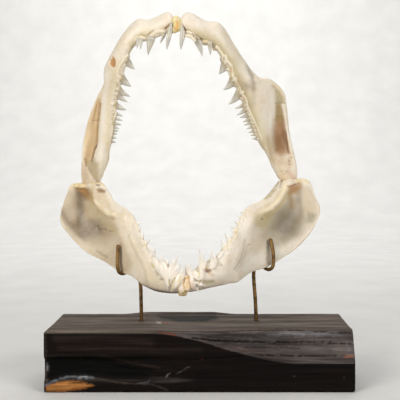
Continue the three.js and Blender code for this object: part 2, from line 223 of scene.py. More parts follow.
def upper_form(shelf, hollow, hollow_end, groove, floor, wall):
    """Front surface and depth of an upper half: a stout tooth bar beside a hollow wing.
    The hollow's floor runs from floor[0] of its depth by the bar to floor[1] by the wall at the rim."""

    def form(t, u):
        edge = np.where(t < 0.54, 1, np.interp((t - 0.54) / 0.46, np.linspace(0, 1, len(shelf)), shelf))
        arc = -17 + 72 * t**1.5
        set_back = 6 + 16 * bell(t, 0.7, 0.17)
        dip = hollow * smooth(0.52, 0.66, t) * (1 - smooth(*hollow_end, t))
        slope = mix(floor[0], floor[1], smooth(edge + 0.05, np.maximum(wall[0], edge + 0.35), u))
        in_hollow = smooth(edge, edge + SHELF_CREST, u) * (1 - smooth(*wall, u)) * slope
        bulge = 3 * np.sin(np.pi * np.clip(u / np.maximum(edge, 0.1), 0, 1))
        furrow = groove * bell(u, 0.28, 0.12) * bell(t, 0.54, 0.09)
        front = arc + set_back * u + dip * in_hollow - bulge + furrow
        bar = between([(0, 14), (0.1, 16), (0.5, 15), (0.7, 12), (0.9, 9), (1, 12)], t)
        thin = smooth(edge - 0.1, edge + 0.2, u) * smooth(0.52, 0.62, t) * (1 - smooth(0.93, 1, t))
        return front, mix(bar, 3.4, thin) + 2 * bell(u, 1, 0.12)

    return form


def lower_form(t, u):
    """Front surface and depth of a lower half: a thin deep plate swept out under the tooth bar."""
    arc = -40 + 95 * t**1.6
    set_back = 6 + 8 * bell(t, 0.55, 0.25)
    hollow = 9 * bell(t, 0.72, 0.2) * bell(u, 0.6, 0.3)
    ridge = 3 * bell(u, mix(0.2, 0.35, smooth(0.6, 1, t)), 0.14) * smooth(0.45, 0.7, t)
    chin = 4 * np.sin(np.pi * u) * (1 - smooth(0.25, 0.45, t))
    front = arc + set_back * u + hollow - ridge - chin
    end = between([(0, 1.2), (0.2, 1.2), (0.5, 0.35), (0.8, 0.25), (1, 0.5)], t)
    bar = mix(17, 13, smooth(0, 0.5, t))
    thin = smooth(end - 0.1, end + 0.25, u)
    return front, mix(bar, 4, thin) + 1.5 * bell(u, 1, 0.1) * thin


def surface(half, t, u, side):
    """Points of a half: u from the mouth edge to the rim, side 1 in front and -1 behind."""
    ends = spline(half["stations"], t)
    front, depth = half["form"](t, u)
    x = mix(ends[..., 0], ends[..., 2], u)
    z = mix(ends[..., 1], ends[..., 3], u)
    return np.stack([x, front + depth / 2 - side * depth / 2, z], -1)


# Teeth: place t along the mouth edge, crown length and width in mm, direction of the tip in degrees
# from +X towards +Z, and a sideways bow as part of the length.
UPPER_RIGHT_TEETH = [
    (0.011, 20.2, 5.7, 266, -0.04), (0.123, 18.3, 8.3, 280, 0.05), (0.184, 10.3, 5.2, 272, 0.03),
    (0.320, 11.3, 10.9, 236, 0.08), (0.406, 13.3, 9.8, 222, 0.06), (0.520, 15.8, 9.9, 224, 0.06),
    (0.601, 10.8, 4.9, 200, 0), (0.626, 11.8, 6.2, 211, 0.04), (0.658, 9.8, 5.6, 197, 0),
    (0.677, 8.8, 5.1, 206, 0), (0.695, 8.8, 5.1, 201, 0), (0.712, 7.8, 4.4, 203, 0),
    (0.729, 6.8, 4.4, 201, 0), (0.744, 5.8, 3.8, 191, 0), (0.762, 5.8, 3.8, 178, 0),
]
UPPER_LEFT_TEETH = [
    (0.022, 21.6, 6.2, 261, 0.03), (0.158, 18.6, 7.8, 264, -0.05), (0.208, 9.6, 4.2, 268, 0),
    (0.234, 8.6, 4.2, 275, 0), (0.364, 12.2, 9.5, 314, -0.05), (0.466, 13.2, 10.3, 321, -0.05),
    (0.535, 14.2, 7.8, 331, -0.04), (0.569, 13.2, 7.8, 325, -0.03), (0.631, 13.2, 8.4, 338, -0.04),
    (0.669, 10.2, 5.3, 341, 0), (0.691, 10.2, 5.3, 344, 0), (0.715, 9.4, 5.3, 346, 0),
    (0.734, 7.4, 4.7, 342, 0), (0.753, 6.4, 4, 358, 0), (0.768, 5.4, 4, 356, 0), (0.787, 5.4, 4, 356, 0),
    (0.808, 5.4, 4, 346, 0),
]
LOWER_RIGHT_TEETH = [
    (0.007, 14, 6.0, 86, 0), (0.099, 21, 6.6, 94, -0.06), (0.190, 12, 6.6, 95, -0.04),
    (0.317, 10, 7.4, 119, -0.03), (0.370, 11, 7.4, 125, -0.03), (0.428, 7, 5.0, 131, 0),
    (0.472, 8, 5.6, 166, 0.05), (0.510, 7, 5.0, 158, 0.03), (0.542, 5, 3.8, 150, 0), (0.571, 4, 3.2, 158, 0),
]
LOWER_LEFT_TEETH = [
    (0.000, 11, 6.0, 76, 0), (0.068, 17, 7.0, 64, 0.09), (0.145, 13, 6.1, 87, 0.02),
    (0.244, 10.5, 6.5, 70, 0.02), (0.363, 7.5, 6.5, 38, 0), (0.422, 5.5, 5.2, 60, 0),
    (0.475, 4.5, 4.6, 45, 0), (0.503, 4.5, 4.0, 20, 0),
]

# ---- marks on the bones: ridges, hollows, creases, stains ----
UPPER_RIGHT_MARKS = [
    # cream bar: painted shade and yellower towards the teeth, a painted highlight along its crest
    line([(196, 36), (208, 40), (222, 50), (232, 62), (238, 78), (246, 98), (255, 120), (264, 143)], 5.4, 0,
        "#BBA97C", 0.8),
    line([(206, 31), (218, 38), (229, 48), (237, 60), (243, 76)], 5.4, 0, "#CDC0A0", 0.68),
    line([(186, 20), (198, 22), (212, 29), (226, 42), (240, 62), (247, 76)], 3.6, 0, "#EFE8DC", 0.5),
    line([(190, 29), (200, 32)], 3, 0, "#DCCBA8", 0.4),
    # furrow between the bar and the wing: a shallow groove with painted shade in it
    line([(248.6, 66), (250.2, 70.8), (252.8, 76.6), (254.3, 83.2), (254.2, 90)], 2.7, -1.0, "#B5AA97", 0.6),
    line([(250, 70), (253, 77)], 1.6, 0, "#A3988A", 0.4),
    line([(254.2, 90), (254, 104)], 2.8, -0.5, "#C0B599", 0.55),
    line([(247, 61), (252, 69), (257.2, 77.2)], 1.0, 0.2, "#F3ECDF", 0.85),
    # the wing's flat plate
    patch([(257, 80), (272, 86), (273, 120), (268, 147), (262, 134), (257.4, 110)], 3, 0.6, "#E3DACD", 0.6),
    line([(258, 112), (262, 130), (268, 148)], 4, 0, "#DAD2B4", 0.5),
    line([(271.6, 92), (271.4, 110), (270, 128)], 1.6, 0.4, "#F0EADD", 0.6),
    # translucent lobe beyond it
    patch([(275.4, 88), (280, 90.6), (284.2, 98), (285.4, 104), (276, 104)], 1.8, -0.6, "#BEAF88", 0.85),
    line([(266, 81), (273, 83.4), (280, 89), (284, 97)], 1.1, 0.3, "#EFE4C6", 0.6),
    line([(271.6, 85.2), (274.6, 87.4)], 1.1, -0.2, "#C79F7C", 0.6),
    # hollow: painted shade, olive above, brown at depth and soft at its lower end, with painted shade on the
    # plate's lower end beside it
    patch([(275.8, 104), (281.6, 104), (284, 118), (283.6, 121), (275.4, 121)], 1.5, -0.3, "#AB925F", 0.9),
    patch([(275.2, 119), (284.4, 119), (286, 130), (288, 142), (288.4, 153), (282, 157), (273.4, 154),
        (273.4, 138)], 4.8, -0.3, "#AC865B", 0.95),
    patch([(276, 131), (284, 131), (286, 142), (286, 150), (276, 150), (274.6, 142)], 3.4, -0.2, "#8B6843",
        0.62),
    line([(277.6, 128), (279.6, 133)], 2.8, 0, "#CF9F86", 0.4),
    line([(267, 138), (269.4, 148), (272, 158)], 3.6, 0, "#C2AE88", 0.6),
    line([(273, 160), (280, 162), (287, 164)], 4.4, 0, "#CDB391", 0.6),
    line([(275.5, 103.3), (280.5, 103), (284.4, 103.6)], 0.55, -0.4, "#86683F", 0.7),
    line([(276.4, 116.8), (281.5, 116.4)], 0.55, -0.3, "#86683F", 0.6),
    line([(285.4, 132.4), (286.4, 141), (288.3, 153)], 0.9, -0.6, "#825629", 0.75),
    line([(282.6, 104.6), (284.6, 114), (286.6, 126), (288.4, 136), (291, 146), (293.4, 156)], 1.3, 0.4,
        "#F3EDE0", 0.9),
    line([(293, 152), (295, 162), (296, 174)], 1.5, 0, "#E8DFCE", 0.6),
    # pits and tissue near the joint
    line([(289.3, 159), (290, 166)], 2.2, 0, "#C6AE90", 0.5),
    line([(289.3, 161)], 0.8, -0.9, "#75603F", 0.8),
    line([(289.5, 164.2)], 0.7, -0.9, "#75603F", 0.8),
    line([(291.4, 157.6)], 0.6, -0.6, "#7A6448", 0.8),
    line([(281.4, 171.6)], 1.0, -0.7, "#86704F", 0.7),
    line([(286.4, 171.6)], 0.8, -0.7, "#86704F", 0.7),
    line([(283.6, 174.4)], 0.7, -0.6, "#7A6448", 0.8),
    line([(288, 172), (292, 176), (295, 182)], 3.4, 0, "#CDA07C", 0.5),
    line([(281, 176), (286, 181), (292, 184)], 2.4, 0.5, "#E0BF86", 0.6),
    line([(274, 158), (280, 168), (286, 178)], 3.6, 0, "#DDC8A8", 0.5),
    # front: crack beside the first tooth, bits of gum
    patch([(182, 22.6), (184, 26), (187.4, 30.6), (184.4, 31.6), (182.6, 28)], 0.7, -1.5, "#8A6138", 0.85),
    line([(185, 30.4), (188.6, 31)], 1.3, -0.4, "#B08A5C", 0.5),
    line([(190.4, 34.6), (192, 37.4), (195, 40)], 1.4, -0.5, "#B58F58", 0.55),
    line([(196.6, 38.4), (201, 39.2)], 1.3, -0.8, "#85643C", 0.7),
    line([(205, 44), (210, 45.5), (214, 46.5)], 1.4, -0.7, "#A28A58", 0.6),
    line([(218, 50), (222, 56), (224, 60)], 1.6, -0.4, "#B8A06C", 0.5),
]
UPPER_LEFT_MARKS = [
    line([(118, 62), (113, 76), (109, 92), (108.4, 108), (108.6, 124), (107, 140)], 3.2, 0, "#E0D0A2", 0.4),
    line([(166, 16), (155, 20), (140, 27), (126, 39), (114, 56), (106, 72)], 4.5, 0, "#EFE5D4", 0.5),
    line([(150, 30), (138, 36), (130, 44)], 3.0, 0, "#D6C69C", 0.5),
    # painted highlight along the raised crest of the bar
    line([(106, 76), (104, 92), (103, 108), (102.8, 122), (101.8, 138), (101, 158)], 3.4, 0.4, "#FAF2E4",
        0.85),
    line([(104, 84), (101, 92), (98, 100)], 2.4, -0.2, "#E0CAA4", 0.4),
    # amber hole near the rim
    patch([(112.4, 55.4), (114.4, 58), (115.3, 62), (114.6, 66.6), (112.4, 67.6), (109.6, 64.6),
        (109.8, 60.5), (111.6, 58.6)], 0.6, -1.5, "#C8955C", 0.92),
    line([(113.6, 59), (114.4, 63), (113.4, 66)], 0.7, -0.3, "#A06A36", 0.6),
    # wing outside the bar: tan painted shade of its hollow, with painted shade in the crevice beside the bar
    patch([(101.6, 92), (100.4, 104), (99.4, 121), (97.6, 138), (94.4, 151), (90, 161), (85.4, 166),
        (83, 158), (83.4, 140), (87, 120), (95, 101)], 2.2, 0, "#E6CDA4", 0.85),
    line([(99.6, 100), (98.4, 112), (96.8, 124), (95.6, 138), (93, 149), (90, 156)], 1.8, 0, "#C9A26E", 0.35),
    line([(100.4, 103), (99.4, 111), (98, 121), (97.2, 131), (96.5, 144.5), (94.6, 149.7), (93.2, 153.3),
        (91.4, 160.7)], 0.9, -0.9, "#A0733E", 0.7),
    line([(96.2, 146), (94.4, 150), (92.6, 156), (91.4, 160.7)], 0.8, -0.4, "#6B4820", 0.75),
    line([(97, 123)], 0.9, 0.4, "#F0E2C4", 0.7),
    line([(93.6, 120.4), (97, 120.2)], 0.5, -0.3, "#9A7A4E", 0.6),
    # painted highlight along the outer rim
    line([(100, 91), (92, 105), (86, 121), (82.8, 140), (82, 156), (81, 164)], 2.1, 0.3, "#F4EAD8", 0.9),
    # strap crossing in front of the bar's end, with painted shadow on the bar's end beside it
    line([(85.4, 159.4), (88, 167.6), (91.8, 175.6), (97.6, 182)], 1.7, -0.9, "#9F8860", 0.65),
    patch([(88, 161), (93, 158), (98, 163), (99, 172), (98.4, 181), (93.4, 177), (90, 170)], 3.0, 0,
        "#AF996E", 0.75),
    patch([(81, 160), (87, 168), (91, 176), (96, 183), (84, 186), (80, 176)], 2, 0.3, "#D8C2A6", 0.7),
    line([(97, 184), (100, 185)], 0.9, -0.6, "#7A5630", 0.7),
    line([(107.4, 142), (108.6, 156), (106.6, 172)], 1.5, 0.3, "#E0CF9F", 0.5),
    # front: crack beside the first tooth, shade behind the gum
    patch([(170.6, 22.6), (169.4, 26), (165.6, 30.4), (164, 29), (167.6, 25)], 0.7, -1.4, "#90683C", 0.85),
    line([(161, 29), (165, 27), (168, 24)], 1.5, 0, "#C3A67C", 0.4),
    patch([(147, 34.6), (152, 31), (155.6, 31), (152, 35.6), (147.4, 36.4)], 1.2, -1.0, "#B49A6A", 0.65),
    line([(140, 36), (146, 36.4)], 1.3, -0.7, "#BCA476", 0.6),
    line([(134, 44), (130, 50), (127, 55)], 1.4, 0, "#D8CC8C", 0.6),
]
LOWER_LEFT_MARKS = [
    # broad plate: tan, with painted shade, darkest on the outside
    patch([(60, 186), (93, 186), (100, 208), (116, 222), (124, 240), (134, 262), (128, 280), (104, 268),
        (84, 256), (60, 236), (54, 206)], 5, -0.2, "#CDBCA2", 0.85),
    patch([(70, 194), (86, 190), (92, 204), (104, 218), (112, 234), (106, 246), (92, 246), (74, 236),
        (64, 220)], 6, -0.2, "#AD9A7F", 0.75),
    line([(79, 193), (79.6, 204), (80, 214), (79, 224)], 4.6, -0.3, "#67583F", 0.8),
    line([(63, 213), (68, 221), (75, 229), (84, 236)], 5, -0.2, "#7C6C57", 0.7),
    patch([(80, 222), (92, 219), (101, 224), (103, 234), (93, 241), (81, 236)], 5, -0.2, "#7A6B57", 0.7),
    patch([(86, 238), (100, 236), (116, 248), (122, 262), (112, 262), (98, 254)], 6, 0, "#C6B79E", 0.5),
    patch([(66, 207), (72, 208), (75.5, 214), (74.6, 221), (69, 220), (65, 213)], 2.6, 0, "#BDB19C", 0.65),
    patch([(85, 202), (92, 203), (99, 211), (104, 217), (95, 219), (86, 216)], 3.5, 0, "#CDBD9C", 0.7),
    # by the joint: painted shade in the fossa, an amber stain along the strap's edge and a light ridge
    patch([(76, 187), (86, 188.4), (90, 193), (90, 197), (85, 198), (79, 195)], 4.5, -0.6, "#6F4E27", 0.95),
    line([(77.6, 185.6), (82, 190), (87.4, 195), (91.5, 200)], 2.3, -0.3, "#BC9455", 0.6),
    line([(69, 188.6), (73, 184), (80, 184.6), (86, 186.6)], 1.0, 0.9, "#E2CF9E", 0.85),
    line([(75, 187.4), (82, 188.6), (88, 190)], 1.0, -0.5, "#A9793A", 0.65),
    # fold running in from the joint: a raised ridge with a painted highlight on it and painted shade beside
    # it
    line([(93.3, 187), (93.4, 196), (94.6, 201)], 1.2, 0.6, "#E2CCA2", 0.6),
    line([(94.8, 200.7), (101.4, 209), (108, 214.4), (113, 214.8)], 1.6, 1.2, "#F6E6C8", 0.95),
    line([(91.2, 190), (91.2, 198), (93.4, 205), (98.4, 211.2), (105.6, 216.6), (112, 219)], 1.8, -0.5,
        "#B9A47A", 0.55),
    patch([(96, 190), (104, 192), (110, 204), (112, 211), (102, 207), (96.6, 200)], 1.8, -0.3, "#D8C4A2",
        0.6),
    # painted shade under the end of the upper jaw, and a dark crack at the joint
    patch([(96.8, 188.6), (101, 188), (106, 190.4), (104.6, 192.8), (98, 191.8)], 1.6, -0.6, "#8C683C", 0.85),
    line([(96.8, 184.9), (99.4, 185.2)], 0.8, -0.6, "#5E3A1C", 0.85),
    # light ridges by the joint and along the fold, with painted shade below the fold
    line([(92, 184), (98, 182.6), (104, 185)], 1.2, 0.7, "#E4CE98", 0.7),
    line([(108, 212), (114, 212.6), (119, 213.4), (125, 217)], 1.2, 0.8, "#EBDCBE", 0.7),
    line([(112, 218), (118, 219), (123, 222)], 1.6, -0.5, "#C4AC84", 0.55),
    # olive shade and hairlines by the tooth row
    line([(104, 222), (110, 226.6), (116, 231)], 3.4, -0.3, "#C3B288", 0.7),
    line([(88, 224), (98, 223.6), (106, 226)], 1.6, 0, "#A6947A", 0.5),
    line([(97.4, 225.4), (98.8, 229.4)], 0.8, -0.4, "#5E5240", 0.7),
    line([(99, 229), (104, 228.6), (106, 229.6)], 0.6, -0.3, "#6E624C", 0.7),
    line([(108, 230.6), (112, 231.4)], 0.6, -0.3, "#6E624C", 0.6),
    line([(96, 251), (102, 255), (107, 257.6)], 1.3, -0.3, "#9E9078", 0.55),
    line([(100, 206.6), (104, 211)], 1.2, 0, "#C9A878", 0.5),
    # light bar under the teeth and the crease that bounds it
    line([(120, 220), (127, 234), (137, 253), (146, 272), (152, 284)], 5, 0.2, "#F2E6CF", 0.75),
    line([(128.5, 236), (131.5, 246), (136, 254), (141.5, 264), (145.3, 273.7), (147.6, 286)], 1.3, -0.4,
        "#C6B18C", 0.4),
    line([(131.6, 238), (136, 248), (142, 259), (147.4, 270), (150, 282)], 1.8, 0.4, "#F2E6D2", 0.6),
    line([(121, 232), (126, 243), (133, 257), (139, 270), (141, 282)], 3.8, 0, "#F1E4CE", 0.7),
    line([(157.4, 271.6), (158.6, 274.6)], 1.3, -1.2, "#8A6A28", 0.9),
    line([(160.4, 279.6), (162.6, 279.4)], 0.9, -0.6, "#8F7B50", 0.75),
    line([(151.6, 264), (153.4, 267)], 1.3, -0.5, "#C9BC62", 0.75),
    line([(150, 276), (156, 282), (164, 286)], 4.0, 0, "#EDE0C4", 0.6),
    line([(128, 277), (136, 282), (142, 286)], 1.6, 0, "#CDB89C", 0.5),
    # thin light rim, with painted shade on the underside below it
    line([(72.6, 183), (67.2, 189.5), (63.2, 198), (60.6, 207), (59.6, 216), (65, 231), (77, 244),
        (92, 256), (106, 263.6), (126, 273.6), (140, 281)], 1.2, 0.2, "#E8DCC2", 0.6),
    line([(140, 286), (150, 289.2), (160, 291.6), (170, 293.4), (178, 293.6)], 1.9, 0, "#735A47", 0.9),
    # painted shadow of the hook on the bone
    line([(120.4, 244), (120.6, 256), (120.8, 268), (122, 274)], 1.1, 0, "#8A6842", 0.6),
]
LOWER_RIGHT_MARKS = [
    # broad plate: pale, with painted shade darkening towards its hollow middle
    patch([(274, 204), (286, 190), (300, 184), (318, 186), (324, 212), (314, 238), (290, 258), (262, 270),
        (240, 280), (238, 262), (250, 244), (254, 222)], 5, -0.2, "#CFC4B2", 0.85),
    patch([(276, 206), (288, 196), (301, 200), (306, 216), (301, 234), (286, 247), (270, 248), (262, 236),
        (266, 220)], 7, -0.2, "#A79B84", 0.75),
    patch([(281, 213), (295, 209), (301, 219), (296, 234), (283, 239), (273, 228)], 8, -0.3, "#716652", 0.8),
    line([(299, 190), (299.5, 200), (299.5, 214)], 3.4, -0.2, "#8F836F", 0.6),
    patch([(304, 190), (311, 190), (316.4, 205), (315, 213), (306, 213), (303, 202)], 2.5, 0.2, "#D4C5AE",
        0.7),
    patch([(308, 212), (317, 214), (313, 223), (306, 222)], 2.5, 0, "#8F8B72", 0.6),
    patch([(246, 254), (262, 251), (284, 246), (300, 238), (284, 258), (262, 268), (246, 274), (240, 268)],
        5, 0, "#DCD5C8", 0.8),
    patch([(288, 186.5), (295, 185), (301, 182.6), (301.6, 187), (297, 192.6), (290, 195)], 3.0, -0.5,
        "#A67C45", 0.85),
    line([(287, 186.8), (292.3, 185.6), (299, 182.6)], 0.9, -0.5, "#9C6A34", 0.85),
    line([(289, 192), (292, 200), (292, 208)], 2.2, -0.3, "#A08458", 0.6),
    line([(297, 181), (303, 179.2), (308, 182.6)], 1.6, 0.3, "#D8CD96", 0.75),
    # bright fold from the joint: a raised ridge with a painted highlight on it and painted shade below it
    line([(285.5, 187), (283, 192.6), (277.8, 201), (270.9, 208), (263.3, 211.7)], 2.6, 1.4, "#F6E8C8", 0.9),
    line([(287.4, 194), (281.8, 204), (275, 211), (266, 215.4)], 2.0, -0.5, "#C2AA74", 0.6),
    line([(280, 191), (274, 200), (266, 206.6), (258, 210)], 1.8, -0.3, "#CDBC92", 0.45),
    patch([(254, 214), (262, 211), (270, 213), (271, 221), (263, 229), (256, 226)], 4, -0.3, "#B8A878", 0.7),
    line([(262.3, 219)], 0.9, -0.9, "#3E3422", 0.9),
    line([(249.1, 244.5)], 0.75, -0.8, "#6A5A44", 0.9),
    line([(268, 217), (274, 214)], 1.4, -0.2, "#A9965F", 0.5),
    # rough torn tissue along the mouth edge near the joint
    line([(279, 178), (275, 187), (271, 193), (266, 198)], 2.0, 0.2, "#B0A176", 0.75),
    line([(278, 183), (275.6, 186)], 0.9, -0.5, "#9A8C66", 0.45),
    line([(276, 190), (273.4, 192.4)], 0.8, -0.5, "#9A8C66", 0.45),
    line([(281.6, 181), (280, 187)], 1.2, -0.6, "#95855C", 0.5),
    line([(272, 195), (269.6, 197)], 0.7, -0.4, "#9A8C66", 0.4),
    # light tooth bar and its crease
    line([(244, 222), (238, 240), (228, 256), (216, 268), (206, 278)], 6, 0.1, "#F6EEE2", 0.75),
    line([(245, 240), (243.4, 251.5), (241.6, 258), (238.8, 263), (234.5, 269.5)], 1.2, -0.5, "#A59B88", 0.5),
    line([(247, 244), (245.6, 254), (241, 265), (236.6, 271)], 0.9, -0.3, "#AFA592", 0.4),
    line([(238.6, 250), (236, 258), (232, 266)], 1.4, 0.2, "#F0E8DA", 0.5),
    patch([(205, 269.6), (208, 269), (210.6, 270.4), (211, 272), (208, 272.8), (205.6, 271.8)], 1.7, -1.0,
        "#8E5E36", 0.95),
    line([(209, 273), (213, 275)], 1.6, 0, "#CFAE86", 0.6),
    line([(216, 264.4), (219, 263.8), (221.4, 265)], 0.8, -0.9, "#9A7A50", 0.8),
    line([(213, 269.6), (215.6, 267.4)], 0.9, -0.5, "#C6A878", 0.6),
    # painted shade: olive under the teeth and browner towards the lower edge
    line([(202, 281), (207, 281.8), (213, 281.4)], 2.1, 0, "#B5A77C", 0.75),
    line([(216, 286.6), (228, 285), (238, 282.6)], 1.4, 0, "#B9A084", 0.6),
    line([(199, 288.6), (212, 287.4), (226, 285.6), (238, 282.8)], 0.9, 0, "#B49C84", 0.5),
    # painted shadow of the hook on the bone
    line([(268.6, 243), (267.6, 252), (267.6, 260), (269, 266)], 1.9, 0, "#7C725C", 0.7),
    # thin light rim along the outer edge
    line([(302, 178.6), (311, 186.5), (316, 198), (319.4, 210), (317.4, 221), (309, 232.6), (293.5, 249.4),
        (275, 263), (255, 272)], 1.2, 0.2, "#EBE0CC", 0.65),
]

HALVES = {
    "upper_right": {
        "node": "upper_jaw_right", "stations": UPPER_RIGHT_STATIONS, "teeth": UPPER_RIGHT_TEETH, "lean": 0.12,
        "form": upper_form((1, 0.79, 0.62, 0.36, 0.1, 0, 0), 7, (0.74, 0.97), 2, (0.5, 1.0), (0.76, 0.95)),
        "marks": UPPER_RIGHT_MARKS,
    },
    "upper_left": {
        "node": "upper_jaw_left", "stations": UPPER_LEFT_STATIONS, "teeth": UPPER_LEFT_TEETH, "lean": 0.12,
        "form": upper_form((1, 0.85, 0.62, 0.53, 0.57, 0.67, 0.9), 6.5, (0.86, 1), 0, (1.0, 0.25),
            (0.75, 1.0)), "marks": UPPER_LEFT_MARKS,
    },
    "lower_right": {
        "node": "lower_jaw_right", "stations": LOWER_RIGHT_STATIONS, "teeth": LOWER_RIGHT_TEETH,
        "lean": -0.12, "form": lower_form, "marks": LOWER_RIGHT_MARKS,
    },
    "lower_left": {
        "node": "lower_jaw_left", "stations": LOWER_LEFT_STATIONS, "teeth": LOWER_LEFT_TEETH, "lean": -0.12,
        "form": lower_form, "marks": LOWER_LEFT_MARKS,
    },
}


# ---- mesh helpers ----
def nothing_selected():
    if bpy.context.object and bpy.context.object.mode != "OBJECT":
        bpy.ops.object.mode_set(mode="OBJECT")
    bpy.ops.object.select_all(action="DESELECT")


def only(piece):
    nothing_selected()
    piece.select_set(True)
    bpy.context.view_layer.objects.active = piece


def grid_of(name, points):
    """A sheet of quads through points[rows, columns], in mm. Also gives each point's row and column."""
    rows, columns = points.shape[:2]
    nothing_selected()
    bpy.ops.mesh.primitive_grid_add(x_subdivisions=columns - 1, y_subdivisions=rows - 1, size=1)
    piece = bpy.context.object
    piece.name = piece.data.name = name
    place = vectors_of(piece, "co")
    i = np.rint((place[:, 1] + 0.5) * (rows - 1)).astype(int)
    j = np.rint((place[:, 0] + 0.5) * (columns - 1)).astype(int)
    piece.data.vertices.foreach_set("co", (points[i, j] * MM).ravel())
    return piece, i, j


def give_values(piece, name, values):
    """Keeps a number or a colour for each point of a mesh."""
    values = np.asarray(values, float)
    if values.ndim == 1:
        attribute = piece.data.attributes.new(name, "FLOAT", "POINT")
        attribute.data.foreach_set("value", values.astype(np.float32))
        return
    attribute = piece.data.color_attributes.new(name, "FLOAT_COLOR", "POINT")
    rgba = np.concatenate([values, np.ones((len(values), 1))], 1)
    attribute.data.foreach_set("color", rgba.astype(np.float32).ravel())


def close_up(piece, join=2e-6):
    """Merges the seam, closes the open ends and turns the faces outwards. No join: nothing is merged."""
    only(piece)
    bpy.ops.object.mode_set(mode="EDIT")
    bpy.ops.mesh.select_mode(type="VERT")
    if join:
        bpy.ops.mesh.select_all(action="SELECT")
        bpy.ops.mesh.remove_doubles(threshold=join)
    bpy.ops.mesh.select_all(action="DESELECT")
    bpy.ops.mesh.select_non_manifold(extend=False)
    bpy.ops.mesh.fill_holes(sides=0)
    bpy.ops.mesh.select_all(action="SELECT")
    bpy.ops.mesh.normals_make_consistent(inside=False)
    bpy.ops.object.mode_set(mode="OBJECT")
    bpy.ops.object.shade_smooth()


def finish_piece(piece, slot, material, *nodes):
    piece.data.materials.clear()
    piece.data.materials.append(material)
    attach(piece, "root")
    if nodes:
        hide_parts(*nodes)


def joined(pieces, name):
    nothing_selected()
    for piece in pieces:
        piece.select_set(True)
    bpy.context.view_layer.objects.active = pieces[0]
    if len(pieces) > 1:
        bpy.ops.object.join()
    whole = bpy.context.object
    whole.name = whole.data.name = name
    return whole


def melted(piece, voxel, passes):
    """Runs the overlapping parts of a piece together into one smooth skin. Voxel size in mm."""
    only(piece)
    remesh = {"mode": "VOXEL", "voxel_size": voxel * MM, "use_smooth_shade": True}
    for kind, settings in (("REMESH", remesh), ("SMOOTH", {"factor": 0.5, "iterations": passes})):
        bpy.ops.object.modifier_add(type=kind)
        modifier = piece.modifiers[-1]
        for key, value in settings.items():
            setattr(modifier, key, value)
        bpy.ops.object.modifier_apply(modifier=modifier.name)
    return piece


def vectors_of(piece, kind):
    values = np.zeros(len(piece.data.vertices) * 3)
    piece.data.vertices.foreach_get(kind, values)
    return values.reshape(-1, 3)


def places_of(piece):
    return vectors_of(piece, "co") / MM


def outward_of(piece):
    return vectors_of(piece, "normal")


def move_to(piece, places):
    piece.data.vertices.foreach_set("co", (places * MM).ravel())
    piece.data.update()


def hollowness(piece, rounds=4):
    """How far each point lies in a hollow, in mm, negative on a crest."""
    pairs = np.zeros(len(piece.data.edges) * 2, int)
    piece.data.edges.foreach_get("vertices", pairs)
    a, b = pairs.reshape(-1, 2).T
    places = places_of(piece)
    count = np.bincount(a, minlength=len(places)) + np.bincount(b, minlength=len(places))
    soft = places.copy()
    for _ in range(rounds):
        total = np.zeros_like(soft)
        np.add.at(total, a, soft[b])
        np.add.at(total, b, soft[a])
        soft = 0.5 * soft + 0.5 * total / np.maximum(count, 1)[:, None]
    return ((soft - places) * outward_of(piece)).sum(1)


# ---- materials ----
def add(tree, kind, settings=(), inputs=()):
    """Adds a node, sets it up and links or fills its inputs."""
    made = tree.nodes.new(kind)
    for key, value in dict(settings).items():
        setattr(made, key, value)
    for key, value in dict(inputs).items():
        if isinstance(value, bpy.types.NodeSocket):
            tree.links.new(value, made.inputs[key])
        else:
            made.inputs[key].default_value = value
    return made


def ramp(tree, factor, stops):
    made = add(tree, "ShaderNodeValToRGB", (), {"Fac": factor})
    points = made.color_ramp.elements
    while len(points) < len(stops):
        points.new(0.5)
    for point, (place, colour) in zip(points, stops):
        point.position = place
        point.color = (*linear(colour), 1) if isinstance(colour, str) else (colour, colour, colour, 1)
    return made.outputs["Color"]


def new_material(name):
    made = bpy.data.materials.new(name)
    made.use_nodes = True
    made.node_tree.nodes.clear()
    return made, made.node_tree


def finished(made, inputs):
    """Ends a material in one Principled shader."""
    shader = add(made.node_tree, "ShaderNodeBsdfPrincipled", (), inputs)
    add(made.node_tree, "ShaderNodeOutputMaterial", (), {"Surface": shader.outputs[0]})
    return made


def rgba(colour):
    return (*linear(colour), 1)


def settings_hex(colour):
    """A linear colour property written back as sRGB hex."""
    parts = []
    for c in colour:
        s = c * 12.92 if c <= 0.0031308 else 1.055 * c ** (1 / 2.4) - 0.055
        parts.append(max(0, min(255, round(s * 255))))
    return "#%02X%02X%02X" % tuple(parts)


def placed(tree):
    return add(tree, "ShaderNodeTexCoord").outputs["Object"]


def kept(tree, name="tint", socket="Color"):
    """A value that the mesh keeps for each point."""
    return add(tree, "ShaderNodeAttribute", {"attribute_name": name}).outputs[socket]


def noisy(tree, where, scale, detail, roughness=0.6, distortion=0.0):
    inputs = {"Vector": where, "Scale": scale, "Detail": detail, "Roughness": roughness,
        "Distortion": distortion}
    return add(tree, "ShaderNodeTexNoise", (), inputs).outputs["Fac"]


def scaled(tree, where, scale):
    return add(tree, "ShaderNodeMapping", (), {"Vector": where, "Scale": scale}).outputs[0]


def times(tree, strength, below, above):
    """One colour darkened by another."""
    look = {"data_type": "RGBA", "blend_type": "MULTIPLY"}
    return add(tree, "ShaderNodeMix", look, {0: strength, 6: below, 7: above}).outputs[2]


def bumpy(tree, strength, distance, height, **below):
    inputs = {"Strength": strength, "Distance": distance, "Height": height, **below}
    return add(tree, "ShaderNodeBump", (), inputs).outputs["Normal"]


def clouded(weight, radius, scale):
    """Inputs for light that sinks in: how much, how far for each colour, and the size in metres."""
    return {"Subsurface Weight": weight, "Subsurface Radius": radius, "Subsurface Scale": scale}


